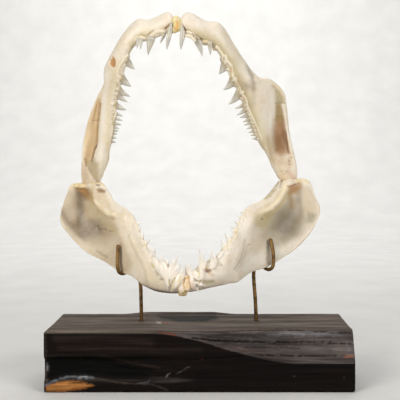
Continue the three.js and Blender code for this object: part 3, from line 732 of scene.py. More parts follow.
def cartilage_material(settings):
    """Sun-bleached, air-dried cartilage: satin ivory, faintly translucent, with a fine tiled skin."""
    made, tree = new_material("dried_cartilage_satin")
    where = placed(tree)
    cloud = noisy(tree, where, 1 / 0.018, 4.0)
    fleck = noisy(tree, where, 1 / 0.0035, 3.0, 0.65)
    # mineral tiles of the real skin are 0.4 mm wide: drawn at 1.1 mm so that they show
    tiles = add(tree, "ShaderNodeTexVoronoi", {"feature": "DISTANCE_TO_EDGE"},
        {"Vector": where, "Scale": 1 / 0.0011})
    warm = times(tree, 0.4, kept(tree), ramp(tree, cloud, [(0.32, "#E6D6B8"), (0.5, "#FBF7F0"),
        (0.68, "#FFFFFF")]))
    satin = settings.cartilage_roughness
    skin = bumpy(tree, 0.25, 0.0001, tiles.outputs["Distance"])
    return finished(made, {
        "Base Color": times(tree, 0.15, warm, ramp(tree, fleck, [(0.3, "#D9C7A2"), (0.55, "#FFFFFF")])),
        "Roughness": ramp(tree, fleck, [(0.3, satin - 0.08), (0.7, satin + 0.1)]),
        "IOR": 1.5, **clouded(0.18, (1.0, 0.7, 0.42), 0.0022),
        "Normal": bumpy(tree, 0.5, settings.surface_relief, fleck, Normal=skin),
    })


def streaked(tree, strength, below):
    """Enameloid's fine streaks: the streaked colour and the bump."""
    streaks = noisy(tree, placed(tree), 1 / 0.0022, 3.0)
    colour = times(tree, strength, below, ramp(tree, streaks, [(0.3, "#E2D6BF"), (0.55, "#FFFFFF")]))
    return colour, bumpy(tree, 0.2, 0.00012, streaks)


def tooth_material(settings, name="tooth_enameloid_polished", shade="#FFFFFF"):
    """Polished enameloid: cold white and glassy at the tip, creamier and duller down at the root."""
    made, tree = new_material(name)
    height = kept(tree, "height", "Fac")
    body = ramp(
        tree, height, [(0.0, "#DCC9A2"), (0.16, "#E8DAC0"), (0.34, "#EBE5DA"), (0.75, "#E9E8E5"),
            (1.0, "#DADEE2")],
    )
    marked, bump = streaked(tree, 0.35, body)
    return finished(made, {
        "Base Color": times(tree, 1.0, marked, rgba(shade)),
        "Roughness": ramp(tree, height, [(0.1, 0.5), (0.35, settings.tooth_roughness)]),
        "IOR": 1.6, **clouded(0.2, (1.0, 0.85, 0.7), 0.0014),
        "Coat Weight": 0.25, "Coat Roughness": 0.12, "Normal": bump,
    })


def rooted_material(settings):
    """Enameloid running down into bare root: glossy above, chalkier where the root shows."""
    made, tree = new_material("tooth_with_root_polished")
    colour, bump = streaked(tree, 0.25, kept(tree))
    return finished(made, {
        "Base Color": colour, "Roughness": settings.tooth_roughness + 0.08,
        "IOR": 1.6, **clouded(0.2, (1.0, 0.85, 0.7), 0.0014), "Normal": bump,
    })


def gum_material():
    """Gum dried hard over the roots: cream and satin, with a pinched, slightly waxy skin."""
    made, tree = new_material("dried_gum_waxy")
    pinch = noisy(tree, placed(tree), 1 / 0.0016, 4.0, distortion=0.4)
    return finished(made, {
        "Base Color": times(tree, 0.35, kept(tree), ramp(tree, pinch, [(0.3, "#DCC59A"), (0.55, "#FFFFFF")])),
        "Roughness": ramp(tree, pinch, [(0.3, 0.5), (0.7, 0.34)]),
        "IOR": 1.5, **clouded(0.25, (1.0, 0.7, 0.4), 0.0018), "Normal": bumpy(tree, 0.4, 0.0003, pinch),
    })


def ligament_material():
    """Dried ligament and gum: amber, horny and half clear, paler where it is thin."""
    made, tree = new_material("dried_ligament_horny")
    folds = noisy(tree, placed(tree), 1 / 0.003, 4.0, distortion=0.6)
    horn = ramp(tree, folds, [(0.3, "#CFA873"), (0.5, "#F6EAD0"), (0.65, "#FFFFFF")])
    return finished(made, {
        "Base Color": times(tree, 0.18, kept(tree), horn), "Roughness": 0.42,
        "IOR": 1.5, **clouded(0.45, (1.0, 0.55, 0.2), 0.003), "Normal": bumpy(tree, 0.35, 0.0004, folds),
    })


def brass_material(settings):
    """Bent brass wire: drawn smooth, browned by handling in patches, brighter in others."""
    made, tree = new_material("aged_brass_drawn")
    where = placed(tree)
    stain = noisy(tree, where, 1 / 0.006, 5.0, 0.65)
    scratch = noisy(tree, where, 1 / 0.0012, 2.0, 0.5)
    return finished(made, {
        "Base Color": ramp(tree, stain, [(0.36, "#543D26"), (0.5, settings_hex(settings.brass)),
            (0.66, "#927046")]),
        "Metallic": 1.0, "Roughness": ramp(tree, stain, [(0.3, 0.6), (0.65, 0.46)]),
        "Normal": bumpy(tree, 0.3, 0.0001, scratch),
    })


def charred_material(settings):
    """Softwood burnt black and wire-brushed: raised grain runs along the block, soot in the low parts."""
    made, tree = new_material("charred_wood_brushed")
    where = placed(tree)
    grain = noisy(tree, scaled(tree, where, (6.0, 160.0, 160.0)), 2.4, 7.0, 0.68, 0.25)
    bands = noisy(tree, scaled(tree, where, (3.0, 40.0, 40.0)), 2.0, 5.0)
    streak = times(tree, 0.8, kept(tree), ramp(tree, grain, [(0.3, "#3A3634"), (0.5, "#A8A19C"),
        (0.7, "#FFFFFF")]))
    return finished(made, {
        "Base Color": times(tree, 0.6, streak, ramp(tree, bands, [(0.35, "#6A6461"), (0.6, "#FFFFFF")])),
        "Roughness": ramp(tree, grain, [(0.3, 0.8), (0.7, 0.55)]), "IOR": 1.45, "Specular IOR Level": 0.12,
        "Normal": bumpy(tree, 0.7, settings.grain_depth, grain),
    })


def stage_material(colour):
    """Matt studio paper, faintly mottled."""
    made, tree = new_material("studio_paper_matt")
    fibre = noisy(tree, placed(tree), 12.0, 3.0, 0.5)
    shade = ramp(tree, fibre, [(0.3, settings_hex(colour)), (0.7, "#DEDDDA")])
    return finished(made, {"Base Color": shade, "Roughness": 0.9})


# ---- the bones ----
def section_places():
    ends = END_CAP * np.array([0.001, 0.01, 0.03, 0.07, 0.13, 0.21, 0.3, 0.4, 0.5, 0.6, 0.7, 0.8, 0.9])
    return np.concatenate([ends, np.linspace(END_CAP, 1 - END_CAP, STEPS), 1 - ends[::-1]])


def bone_points(half, settings):
    """Points of a bone and their tint."""
    t, turn = np.meshgrid(section_places(), np.linspace(0, 2 * np.pi, RING + 1), indexing="ij")
    near_end = np.clip(np.minimum(t, 1 - t) / END_CAP, 0, 1)
    shrink = (1 - (1 - near_end) ** 3) ** 0.4
    u = 0.5 - 0.505 * np.cos(turn) * shrink
    side = np.sign(np.sin(turn)) * np.abs(np.sin(turn)) ** 0.6 * shrink
    points = surface(half, t, u, side)
    points[:, -1] = points[:, 0]

    # normals from the sheet itself
    d_t = np.gradient(points, axis=0)
    wrapped = np.concatenate([points[:, -2:-1], points, points[:, 1:2]], 1)
    d_s = (wrapped[:, 2:] - wrapped[:, :-2]) / 2
    normal = unit(np.cross(d_t, d_s))
    middle = points[:, :-1].mean(1, keepdims=True)
    if (normal * (points - middle)).sum() < 0:
        normal = -normal

    tint = np.broadcast_to(np.array(settings.cartilage[:]), points.shape).copy()
    toward = -(normal * unit(points - EYE)).sum(-1)
    tint, height = painted(points, tint, half["marks"], smooth(-0.1, 0.25, side) * smooth(-0.3, 0.2, toward))

    # behind: yellower by the teeth and the rim, with a long shallow groove
    behind = smooth(0.1, -0.3, side)
    tint = stain_and_shade(tint, "#DCC896", behind * 0.5 * bell(u, 0.05, 0.25))
    tint = stain_and_shade(tint, "#CDBB95", behind * 0.4 * bell(u, 0.55, 0.25))
    height -= behind * 0.8 * bell(u, 0.3, 0.08) * smooth(0.05, 0.2, t) * (1 - smooth(0.8, 0.95, t))

    # lumps: fine skin everywhere, coarser near the teeth and the joint
    fine = wavy(points[:, :-1], 2.4, 2, 3.1)
    broad = wavy(points[:, :-1], 16, 3, 9.7)
    seam = lambda a: np.concatenate([a, a[:, :1]], 1)
    gum = bell(u, 0, 0.16) + 0.6 * smooth(0.93, 1, t)
    height += seam(broad) * 0.45 + seam(fine) * (0.08 + 0.28 * gum)
    tint = tint * (1 - 0.05 * np.clip(-seam(fine), 0, 1))[..., None]
    points = points + normal * height[..., None]
    points[:, -1] = points[:, 0]
    return points, tint


class JAW_OT_bones(bpy.types.Operator):
    """Models the four cartilage halves of the jaw"""

    bl_idname = "jaw.bones"
    bl_label = "Model the cartilage"

    def execute(self, context):
        settings = context.scene.jaw_settings
        material = cartilage_material(settings)
        for key, half in HALVES.items():
            points, tint = bone_points(half, settings)
            piece, i, j = grid_of("bone_" + key, points)
            give_values(piece, "tint", tint[i, j])
            close_up(piece)
            finish_piece(piece, "dried_cartilage", material, half["node"])
        return {"FINISHED"}


# ---- teeth ----
TOOTH_SIDES = 20
TOOTH_RINGS = 15


def tooth_pattern():
    """One open tube, as (angle, height) of its points, that every tooth is bent from."""
    nothing_selected()
    bpy.ops.mesh.primitive_cylinder_add(vertices=TOOTH_SIDES, radius=1, depth=1, location=(0, 0, 0.5),
        end_fill_type="NOTHING")
    piece = bpy.context.object
    bpy.ops.object.mode_set(mode="EDIT")
    bpy.ops.mesh.select_mode(type="EDGE")
    bpy.ops.mesh.select_all(action="DESELECT")
    bpy.ops.object.mode_set(mode="OBJECT")
    for edge in piece.data.edges:
        a, b = (piece.data.vertices[k].co.z for k in edge.vertices)
        edge.select = abs(a - b) > 0.5
    bpy.ops.object.mode_set(mode="EDIT")
    bpy.ops.mesh.subdivide(number_cuts=TOOTH_RINGS)
    bpy.ops.object.mode_set(mode="OBJECT")
    bpy.ops.object.transform_apply(location=True)
    piece.name = "tooth_pattern"
    co = np.array([v.co[:] for v in piece.data.vertices])
    angle = np.arctan2(co[:, 1], co[:, 0])
    return piece, angle, np.clip(co[:, 2], 0, 1)


def tooth_copy(pattern, angle, height, base, up, across, length, width, sink=(0, 0, 0), bow=0.0, side_bow=0.0,
               thick=0.5, edge_run=None):
    """A copy of the pattern bent into one dagger-like tooth. Sizes and places are in mm."""
    up, across = unit(up), unit(across)
    through = unit(np.cross(up, across))
    crown = np.clip((height - 0.12) / 0.88, 0, 1)
    if edge_run is not None:
        run = edge_run * (1 if edge_run @ across > 0 else -1)
        across = unit(mix(run, across, smooth(0.0, 0.45, crown)[:, None]))
    else:
        across = np.broadcast_to(across, (len(height), 3))
    root = 1 - np.clip(height / 0.12, 0, 1)
    taper = (1 - crown) ** 0.8 + 0.025 + 0.42 * np.exp(-((crown / 0.13) ** 2))
    taper *= 1 + 0.15 * root
    x = np.cos(angle)
    lens = np.sign(np.sin(angle)) * (np.abs(np.sin(angle)) ** 1.15)
    y = lens * thick * np.where(lens < 0, 0.75, 1.1) * (1 - 0.25 * crown)
    place = (
        np.asarray(base, float)
        + up * (crown * length)[:, None]
        + across * (x * taper * width / 2)[:, None]
        + across * (side_bow * length * np.sin(np.pi * crown * 0.9))[:, None]
        + through * (y * taper * width / 2)[:, None]
        + np.asarray(sink, float) * root[:, None]
    )
    place[:, 1] += bow * length * np.sin(np.pi * crown)
    piece = pattern.copy()
    piece.data = pattern.data.copy()
    bpy.context.scene.collection.objects.link(piece)
    piece.data.vertices.foreach_set("co", (place * MM).ravel())
    give_values(piece, "height", height)
    return piece


def tooth_frame(half, t, u, degrees, lean):
    edge = surface(half, np.array(t), np.array(u), np.array(0.0))
    inner = surface(half, np.array(t), np.array(0.5), np.array(0.0))
    a = math.radians(degrees)
    up = unit([math.cos(a), lean, math.sin(a)])
    across = np.array([-math.sin(a), 0, math.cos(a)])
    return edge, unit(inner - edge), up, across


# Front teeth this near the middle are modelled with their roots.
ROOTED = {"upper_right": 0.2, "upper_left": 0.25, "lower_right": 0.25, "lower_left": 0.3}
# Rows of new teeth behind each working one: degrees folded back, mm behind it, mm down into the jaw.
FOLDED_ROWS = ((62, 5.5, 1.5), (120, 8.5, 5.0), (165, 9.5, 9.5))
SECOND_ROW = [     # teeth standing behind the first ones: base, tip, width, depth y
    ((235, 231), (230.6, 227.6), 2.4, -18),
]


class JAW_OT_teeth(bpy.types.Operator):
    """Models one tooth and sets a bent copy at each place in the jaw"""

    bl_idname = "jaw.teeth"
    bl_label = "Set the teeth"

    def execute(self, context):
        settings = context.scene.jaw_settings
        white = tooth_material(settings)
        # painted shade: the upper teeth get a greyer copy of the tooth material
        grey = tooth_material(settings, "tooth_enameloid_shaded", "#D6D4CC")
        pattern, angle, height = tooth_pattern()
        copy = lambda *a, **k: tooth_copy(pattern, angle, height, *a, **k)
        chance = random.Random(11)
        rows = {}
        for key, half in HALVES.items():
            teeth = rows.setdefault(key, [])
            upper = half["lean"] > 0
            for t, length, width, degrees, side_bow in half["teeth"]:
                edge, in_jaw, up, across = tooth_frame(half, t, 0, degrees, half["lean"])
                base = edge + [0, -1, 0]
                bow = 0.06 if length > 8 else 0.02
                sink = in_jaw * min(4, width * 0.8)
                if t > ROOTED[key]:
                    ends = surface(half, np.array([t - 0.01, t + 0.01]), np.zeros(2), np.zeros(2))
                    run = unit(ends[1] - ends[0])
                    teeth.append(copy(base, up, across, length, width, sink, bow, side_bow, edge_run=run))
                # replacement teeth folded down behind, tips away from the mouth edge
                for row, (fold, back, deep) in enumerate(FOLDED_ROWS):
                    if width < 3.6 or (width < 5 and row == 2) or (upper and t < 0.05):
                        continue
                    a = math.radians(fold + chance.uniform(-8, 8))
                    turned = unit(up * math.cos(a) + np.array([0, 1, 0]) * math.sin(a))
                    size = (0.9 - 0.1 * row) * chance.uniform(0.92, 1.05)
                    extra = (2.0 if upper else 0.5) if row == 0 else 0.0
                    place = base + np.array([0, back, 0]) + in_jaw * (deep + extra)
                    place = place + across * chance.uniform(-0.8, 0.8)
                    tall = length * size * 0.85
                    teeth.append(copy(place, turned, across, tall, width * size, in_jaw * 1.5, 0, side_bow))
        for base, tip, width, y in SECOND_ROW:
            a, b = at_depth(*base, y), at_depth(*tip, y)
            up = unit(b - a)
            across = unit(np.cross([0, 1, 0], up))
            rows["lower_right"].append(copy(a, up, across, np.linalg.norm(b - a), width, -up * 3, 0.03, 0,
                0.45))
        for key, teeth in rows.items():
            whole = joined(teeth, "teeth_" + key)
            close_up(whole, join=0)
            bpy.ops.object.shade_smooth_by_angle(angle=math.radians(50))
            finish_piece(whole, "tooth_enameloid", grey if "upper" in key else white, HALVES[key]["node"])
        bpy.data.objects.remove(pattern)
        return {"FINISHED"}


# ---- strands: roots, cords of dried tissue, wire ----
def strands(name, paths, sides, smooth_path=True):
    """Round strands through (points, radii) in mm, with tapered closed ends, as one mesh."""
    curve = bpy.data.curves.new(name, "CURVE")
    curve.dimensions = "3D"
    curve.bevel_depth = MM
    curve.bevel_resolution = max(1, sides // 4)
    curve.use_fill_caps = True
    for points, radii in paths:
        points = np.array(points, float)
        if smooth_path:
            k = np.linspace(0, 1, max(8, 4 * len(points)))
            radii = np.interp(k, np.linspace(0, 1, len(radii)), radii)
            points = spline(points, k)
        run = curve.splines.new("POLY")
        run.points.add(len(points) - 1)
        for place, p, radius in zip(run.points, points, radii):
            place.co = (*(p * MM), 1)
            place.radius = radius
    piece = bpy.data.objects.new(name, curve)
    bpy.context.scene.collection.objects.link(piece)
    only(piece)
    bpy.ops.object.convert(target="MESH")
    piece = bpy.context.object
    bpy.ops.object.shade_smooth()
    return piece


def bones_tree():
    """The front surfaces of the bones, for setting small pieces on them."""
    corners, faces = [], []
    for key in HALVES:
        mesh = bpy.data.objects["bone_" + key].data
        start = len(corners)
        corners += [v.co / MM for v in mesh.vertices]
        faces += [[start + k for k in f.vertices] for f in mesh.polygons]
    return BVHTree.FromPolygons(corners, faces)


def laid(tree, places, fallback, lift, forward=False):
    """Places on the bones under a run of places in the front view. Where the run leaves the bone it keeps
    the depth of its neighbours. Forward: from the last place to the first it never dips back."""
    hits = [tree.ray_cast(Vector(EYE), Vector(sight(*place)))[0] for place in places]
    met = [n for n, hit in enumerate(hits) if hit is not None]
    if not met:
        return [at_depth(*place, fallback) for place in places]
    depths = np.interp(np.arange(len(places)), met, [hits[n].y for n in met])
    if forward:
        for n in range(len(depths) - 2, -1, -1):
            depths[n] = min(depths[n], depths[n + 1] + 0.4)
    return [at_depth(*place, y) - sight(*place) * lift for place, y in zip(places, depths)]


# Front teeth with their bare roots, from the tip up: column, row and half width in the front view.
# The number before them says how many places, from the tip, stand clear of the bone.
# The last number is the lift.
LOWER_BLADES = [
    (2, [(147, 245.6, 0.5), (149.6, 248.2, 1.6), (152.2, 251.6, 1.8), (154.4, 256, 1.6)], 0.2),
    (3, [(155.5, 247.8, 0.2), (154.4, 252.2, 1.4), (153.9, 256.6, 2.4), (155.3, 261.2, 3.3),
        (158.2, 266.4, 3.8), (161, 272, 3.4), (164, 278.4, 1.4)], 0.6),
    (3, [(161.8, 253.6, 0.2), (161.6, 257.4, 1.5), (161.7, 261, 2.4), (162.4, 264.8, 4.2),
        (163.4, 269.4, 5.2), (165, 274, 4.6), (166.8, 279, 3.0), (167.8, 284.8, 1.7), (168, 291, 0.7)], 1.2),
    (2, [(168.2, 260, 0.6), (166.6, 262.2, 2.4), (166, 266, 3.2), (166.4, 271, 2.6)], 0.2),
    (3, [(178.6, 255.6, 0.2), (176.2, 259, 1.5), (174, 263.2, 2.5), (172.3, 267.4, 3.4),
        (170.9, 272.4, 3.6), (169.9, 278, 2.8), (169.4, 286.5, 1.2)], 1.4),
    (3, [(180.8, 264.6, 0.5), (178.6, 266.8, 2.1), (176.6, 270.6, 2.8), (174.8, 275.4, 2.6),
        (173, 281, 1.4)], 0.3),
    (3, [(183.7, 265.1, 0.2), (182.9, 268.8, 1.4), (182, 272.6, 2.4), (180.8, 276.4, 4.0),
        (179, 280.4, 4.4), (176.2, 284.4, 3.0), (173.4, 288, 2.0), (171, 291.6, 0.6)], 1.8),
    (1, [(181.4, 274.6, 2.0), (180.8, 279, 3.6), (180.6, 284.4, 4.0), (181.4, 289, 3.4),
        (182.2, 292.4, 2.2)], 1.9),
    (1, [(186.6, 275.4, 1.4), (187, 280, 3.2), (187, 285.4, 3.6), (186.4, 290.2, 2.6)], 1.5),
    (3, [(188.5, 260.2, 0.2), (188.6, 264.6, 1.6), (189, 268.6, 2.4), (189.9, 272.8, 2.9),
        (191.2, 276.8, 2.6), (192.8, 280.6, 2.0), (196, 283, 1.5), (198.4, 282.4, 0.9)], 1.6),
    (2, [(185.2, 265, 0.2), (186.4, 269, 1.3), (187.2, 273, 2.0), (187.4, 278, 2.0)], 0.4),
    (1, [(190.4, 277, 1.8), (191.2, 281.8, 3.0), (192.4, 286.4, 3.0), (193.2, 290, 1.6)], 1.3),
    (1, [(194.2, 270.4, 1.6), (195.4, 273.8, 3.2), (197.4, 277.2, 3.2), (199.4, 280.4, 2.0)], 1.1),
    (3, [(198.6, 249.5, 0.2), (200.4, 254.4, 1.8), (201.4, 259, 2.6), (202.1, 263.6, 3.3),
        (202.1, 268, 3.4), (201.7, 272.6, 2.8), (201.5, 277.6, 2.1), (201.6, 282.4, 1.0)], 1.2),
    (3, [(211, 249.4, 0.2), (212.2, 253.8, 1.9), (213.3, 257.8, 2.7), (213.8, 261.6, 3.8),
        (212.6, 265.4, 3.6), (211, 269.3, 2.2)], 0.8),
    (1, [(203.4, 262.4, 1.4), (206.2, 265.2, 2.2), (209, 265.4, 2.2), (212, 262.6, 1.4)], 0.5),
    (1, [(215.4, 259.8, 2.0), (218.4, 257.6, 2.4), (221.4, 254.6, 2.2), (223.6, 251.6, 1.4)], 0.4),
    (1, [(197.6, 284.2, 1.6), (201, 284.6, 1.8), (203.6, 285.4, 1.2), (206.2, 287, 0.2)], 2.2),
    (1, [(195.6, 287.6, 1.6), (197.2, 289, 1.4), (199.3, 292.4, 0.2)], 1.8),
]
LOWER_CORDS = [   # folds of gum between them: places and radii in mm
    ([(192.5, 271), (195.4, 269.4), (198.6, 268.4), (199.4, 272)], (0.6, 0.8, 0.8, 0.6)),
    ([(203, 260.8), (204.6, 263.8), (207.6, 265), (210.6, 264), (212, 261.6)], (1.2, 1.8, 2.0, 1.8, 1.2)),
    ([(203.6, 266), (207.6, 268), (211, 267)], (1.6, 1.8, 1.6)),
    ([(215, 259), (218.6, 257), (223.4, 251.6)], (1.3, 1.5, 1.2)),
    ([(212.6, 269), (214.8, 267.6), (218.3, 264.4), (221.5, 263)], (0.9, 1.4, 1.4, 0.9)),
    ([(193.6, 273), (196, 271.6), (199, 271)], (1.4, 1.7, 1.4)),
    ([(217, 263.6), (219.2, 262.8), (221.4, 263.6), (220.6, 265.6)], (0.5, 0.7, 0.7, 0.5)),
    ([(187.6, 275), (190.4, 277)], (0.9, 0.9)),
]
ROOT_MARKS = [
    line([(188.2, 277), (185.4, 278.4), (183.4, 283), (184, 289)], 0.7, -0.2, "#D0A038", 0.85),
    line([(188.6, 277), (189.2, 283), (190.6, 287.6), (192.4, 291)], 0.7, -0.2, "#C99434", 0.85),
    line([(186.4, 283), (187, 288)], 1.8, 0, "#E5C078", 0.6),
    line([(169.4, 280), (169.9, 286), (169.6, 290.4)], 0.9, -0.2, "#A39158", 0.85),
    line([(174.8, 277.6), (173, 281)], 0.8, -0.2, "#A39158", 0.7),
    line([(170.2, 291), (173.6, 286)], 0.8, 0, "#E8CE8A", 0.6),
    line([(182.8, 280.2), (184.6, 278.6)], 0.7, -0.2, "#B0915C", 0.6),
    line([(199.2, 273), (199, 277.4)], 0.8, 0, "#D9D08E", 0.75),
    line([(194.6, 280), (197.6, 281.4), (203.6, 280.6)], 0.8, -0.2, "#C6B070", 0.7),
    line([(191.6, 283), (194, 288)], 1.0, 0, "#DDA878", 0.5),
    line([(205, 270), (210, 272)], 1.8, 0, "#B88F66", 0.5),
    line([(178, 290.6), (184, 292), (190, 291.4)], 1.4, 0, "#D8BE92", 0.6),
    line([(180.6, 277), (179.6, 283), (178, 288)], 1.6, 0, "#DCC18C", 0.55),
    line([(187, 277), (188.6, 283), (187, 290)], 2.4, 0, "#F0C98C", 0.35),
    line([(174, 281), (171.6, 287)], 1.1, 0, "#E6CB8E", 0.5),
]
UPPER_BLADES = [
    (3, [(166.6, 50.4, 0.2), (167.5, 44.6, 1.6), (168.5, 39, 2.3), (169.6, 33, 2.5), (170.4, 28.6, 2.1),
        (171.6, 22.2, 0.7)], 0.7),
    (2, [(160, 43.6, 0.25), (161.8, 39.8, 1.2), (163.8, 36.2, 1.6), (165, 33.6, 1.4)], 0.0),
    (3, [(148, 55.8, 0.2), (148.6, 51, 1.6), (149.5, 46, 2.8), (150.2, 42, 4.0), (150.8, 38.6, 4.6),
        (151, 35.8, 2.8)], 0.3),
    (2, [(140.6, 50, 0.2), (140.7, 46.4, 1.1), (141, 42.4, 1.8), (141.2, 38, 1.9)], 0.1),
    (2, [(136.8, 49, 0.2), (137.4, 45.4, 1.1), (137.9, 41.6, 1.8), (138.6, 37.4, 1.9)], 0.2),
    (3, [(180.9, 50.8, 0.2), (181.2, 45.6, 1.5), (181.9, 40, 2.4), (182.5, 34.6, 2.8), (182.2, 29.6, 2.2),
        (181.2, 23.4, 0.9)], 0.7),
    (3, [(202.3, 57.1, 0.2), (201.4, 52, 1.5), (200, 47.4, 2.6), (198.6, 43, 3.8), (197, 39.6, 3.6),
        (195.4, 36.6, 2.2)], 0.3),
    (2, [(210.5, 55.6, 0.2), (210.3, 51.6, 1.3), (210.3, 47.8, 2.3), (209.8, 43.8, 2.8), (209, 41, 1.8)],
        0.2),
]
UPPER_CORDS = [
    ([(146.6, 39.6), (150, 37), (153.4, 34.2), (157, 32), (161.3, 31.4), (165.4, 33)],
        (1.6, 2.1, 2.4, 2.6, 2.8, 2.2)),
    ([(153, 38.4), (156.4, 35.2), (160.6, 33.8), (165, 34.8)], (1.4, 1.8, 2.0, 1.9)),
    ([(134.6, 41.4), (137.2, 38.6), (140.4, 37.2), (143.6, 38), (147, 39)], (1.7, 2.2, 2.3, 2.0, 1.7)),
    ([(142.6, 40.4), (146, 40)], (1.4, 1.4)),
    ([(184.4, 34.6), (188, 34), (191, 34.8), (193.8, 37.4), (196.4, 40)], (2.0, 2.6, 2.3, 1.8, 1.5)),
    ([(185, 36), (188.6, 35.8), (192.4, 38), (195.4, 41.4)], (1.6, 1.8, 1.8, 1.5)),
    ([(183.6, 32.8), (187.4, 32.2), (190.8, 33.4), (192.8, 35.6)], (2.0, 2.4, 2.2, 1.6)),
    ([(200.4, 42.6), (203, 41.6), (206.6, 41.6), (208.6, 43.4)], (1.6, 2.2, 2.3, 1.7)),
    ([(202.6, 43.8), (207, 44.2)], (1.5, 1.5)),
    ([(212, 48), (214, 47), (216.8, 47), (219.4, 49.6), (222, 53.2), (223.8, 57)],
        (1.6, 2.0, 2.1, 1.8, 1.6, 1.5)),
    ([(213, 49.6), (217, 49.8), (220, 54), (222.6, 60)], (1.4, 1.5, 1.4, 1.2)),
    ([(225.2, 54.6), (226.2, 58.8), (225.4, 63)], (1.4, 2.0, 2.5)),
    ([(226.4, 60.4), (229.4, 63.4), (231.4, 66.4), (232.2, 71.3), (233.9, 77.6), (239, 86.6), (241.2, 93.2),
        (245.8, 99), (247.8, 107.3), (252.0, 116.4), (254.9, 123), (257.4, 128), (260.7, 136.3),
        (263.2, 143)], (1.5, 1.9, 1.8, 1.4, 1.6, 1.4, 1.6, 1.3, 1.5, 1.3, 1.2, 1.1, 1.0, 0.6)),
    ([(128, 54), (123.4, 60.7), (119.2, 67), (117.5, 75.4), (118.4, 79.3), (115.6, 86), (114.2, 93),
        (116.5, 98.9), (114.3, 106), (115.6, 113.5), (112.8, 122), (112.2, 131), (110.8, 140),
        (110.4, 148)], (1.4, 1.8, 1.6, 1.7, 1.8, 1.6, 1.7, 1.7, 1.5, 1.6, 1.3, 1.3, 1.0, 0.6)),
]
UPPER_ROOT_MARKS = [
    line([(205, 44), (210, 45.5)], 1.2, 0, "#BFA672", 0.5),
    line([(203.4, 40.4), (207.2, 41.4)], 1.5, 0, "#D8BE86", 0.6),
    line([(199.6, 39.4), (196.8, 38.6)], 1.2, -0.3, "#8C6A3C", 0.7),
    line([(160.6, 43), (163.6, 37.4)], 1.4, 0, "#A39E92", 0.5),
]
SIDE_GUM_MARKS = [   # amber flecks where the gum is thin
    line([(230.4, 68.4), (231.2, 71.6)], 1.3, 0, "#C79A5E", 0.6),
    line([(237, 82.4), (238.8, 86)], 1.2, 0, "#C9A268", 0.55),
    line([(243.2, 99.6), (244.4, 103.6)], 1.4, 0, "#B98E50", 0.65),
    line([(117, 82.6), (116.4, 85)], 1.3, 0, "#BFA76A", 0.6),
    line([(114.5, 96.4), (114.4, 98.6)], 1.3, 0, "#BFA76A", 0.6),
    line([(114.5, 104.4), (114.4, 106.4)], 1.3, 0, "#B89E60", 0.65),
    line([(112.6, 114), (112.7, 124)], 1.2, 0, "#C4A870", 0.5),
    line([(112.3, 138), (112, 142)], 1.4, 0, "#BFA262", 0.6),
]


def front_place(half, t, inward):
    """A place on a half's front, inward mm from the mouth edge."""
    t = np.clip(np.asarray(t, float), 0.002, 0.998)
    ends = spline(half["stations"], t)
    wide = np.hypot(ends[..., 2] - ends[..., 0], ends[..., 3] - ends[..., 1])
    u = np.clip(inward / wide, 0.001, 0.9)
    side = (2 * np.sqrt(u * (1 - u))) ** 0.6
    return surface(half, t, u, side)


def blade_mesh(name, tree, blades, depth):
    """Flat pointed bodies, tip to root, that lie on the bone below and stand clear of it at the tip."""
    pieces = []
    for clear, places, lift in blades:
        rows = np.array(places, float)
        contact = laid(tree, rows[clear:, :2], depth, lift, forward=True)
        spine = [at_depth(c, r, contact[0][1] - 0.8) for c, r, _ in rows[:clear]] + contact
        k = np.linspace(0, 1, 28)
        spine = spline(np.array(spine), k)
        wide = np.clip(np.interp(k, np.linspace(0, 1, len(rows)), rows[:, 2]), 0.05, None) * 1.05
        along = unit(np.gradient(spine, axis=0))
        across = unit(np.cross(along, [0, 1, 0]))
        through = np.cross(across, along)
        turn = np.linspace(0, 2 * np.pi, 19)
        ring = across[:, None] * np.cos(turn)[None, :, None]
        ring = ring + through[:, None] * (0.62 * np.sin(turn))[None, :, None]
        piece, _, _ = grid_of(name, spine[:, None] + ring * wide[:, None, None])
        close_up(piece)
        pieces.append(piece)
    return pieces


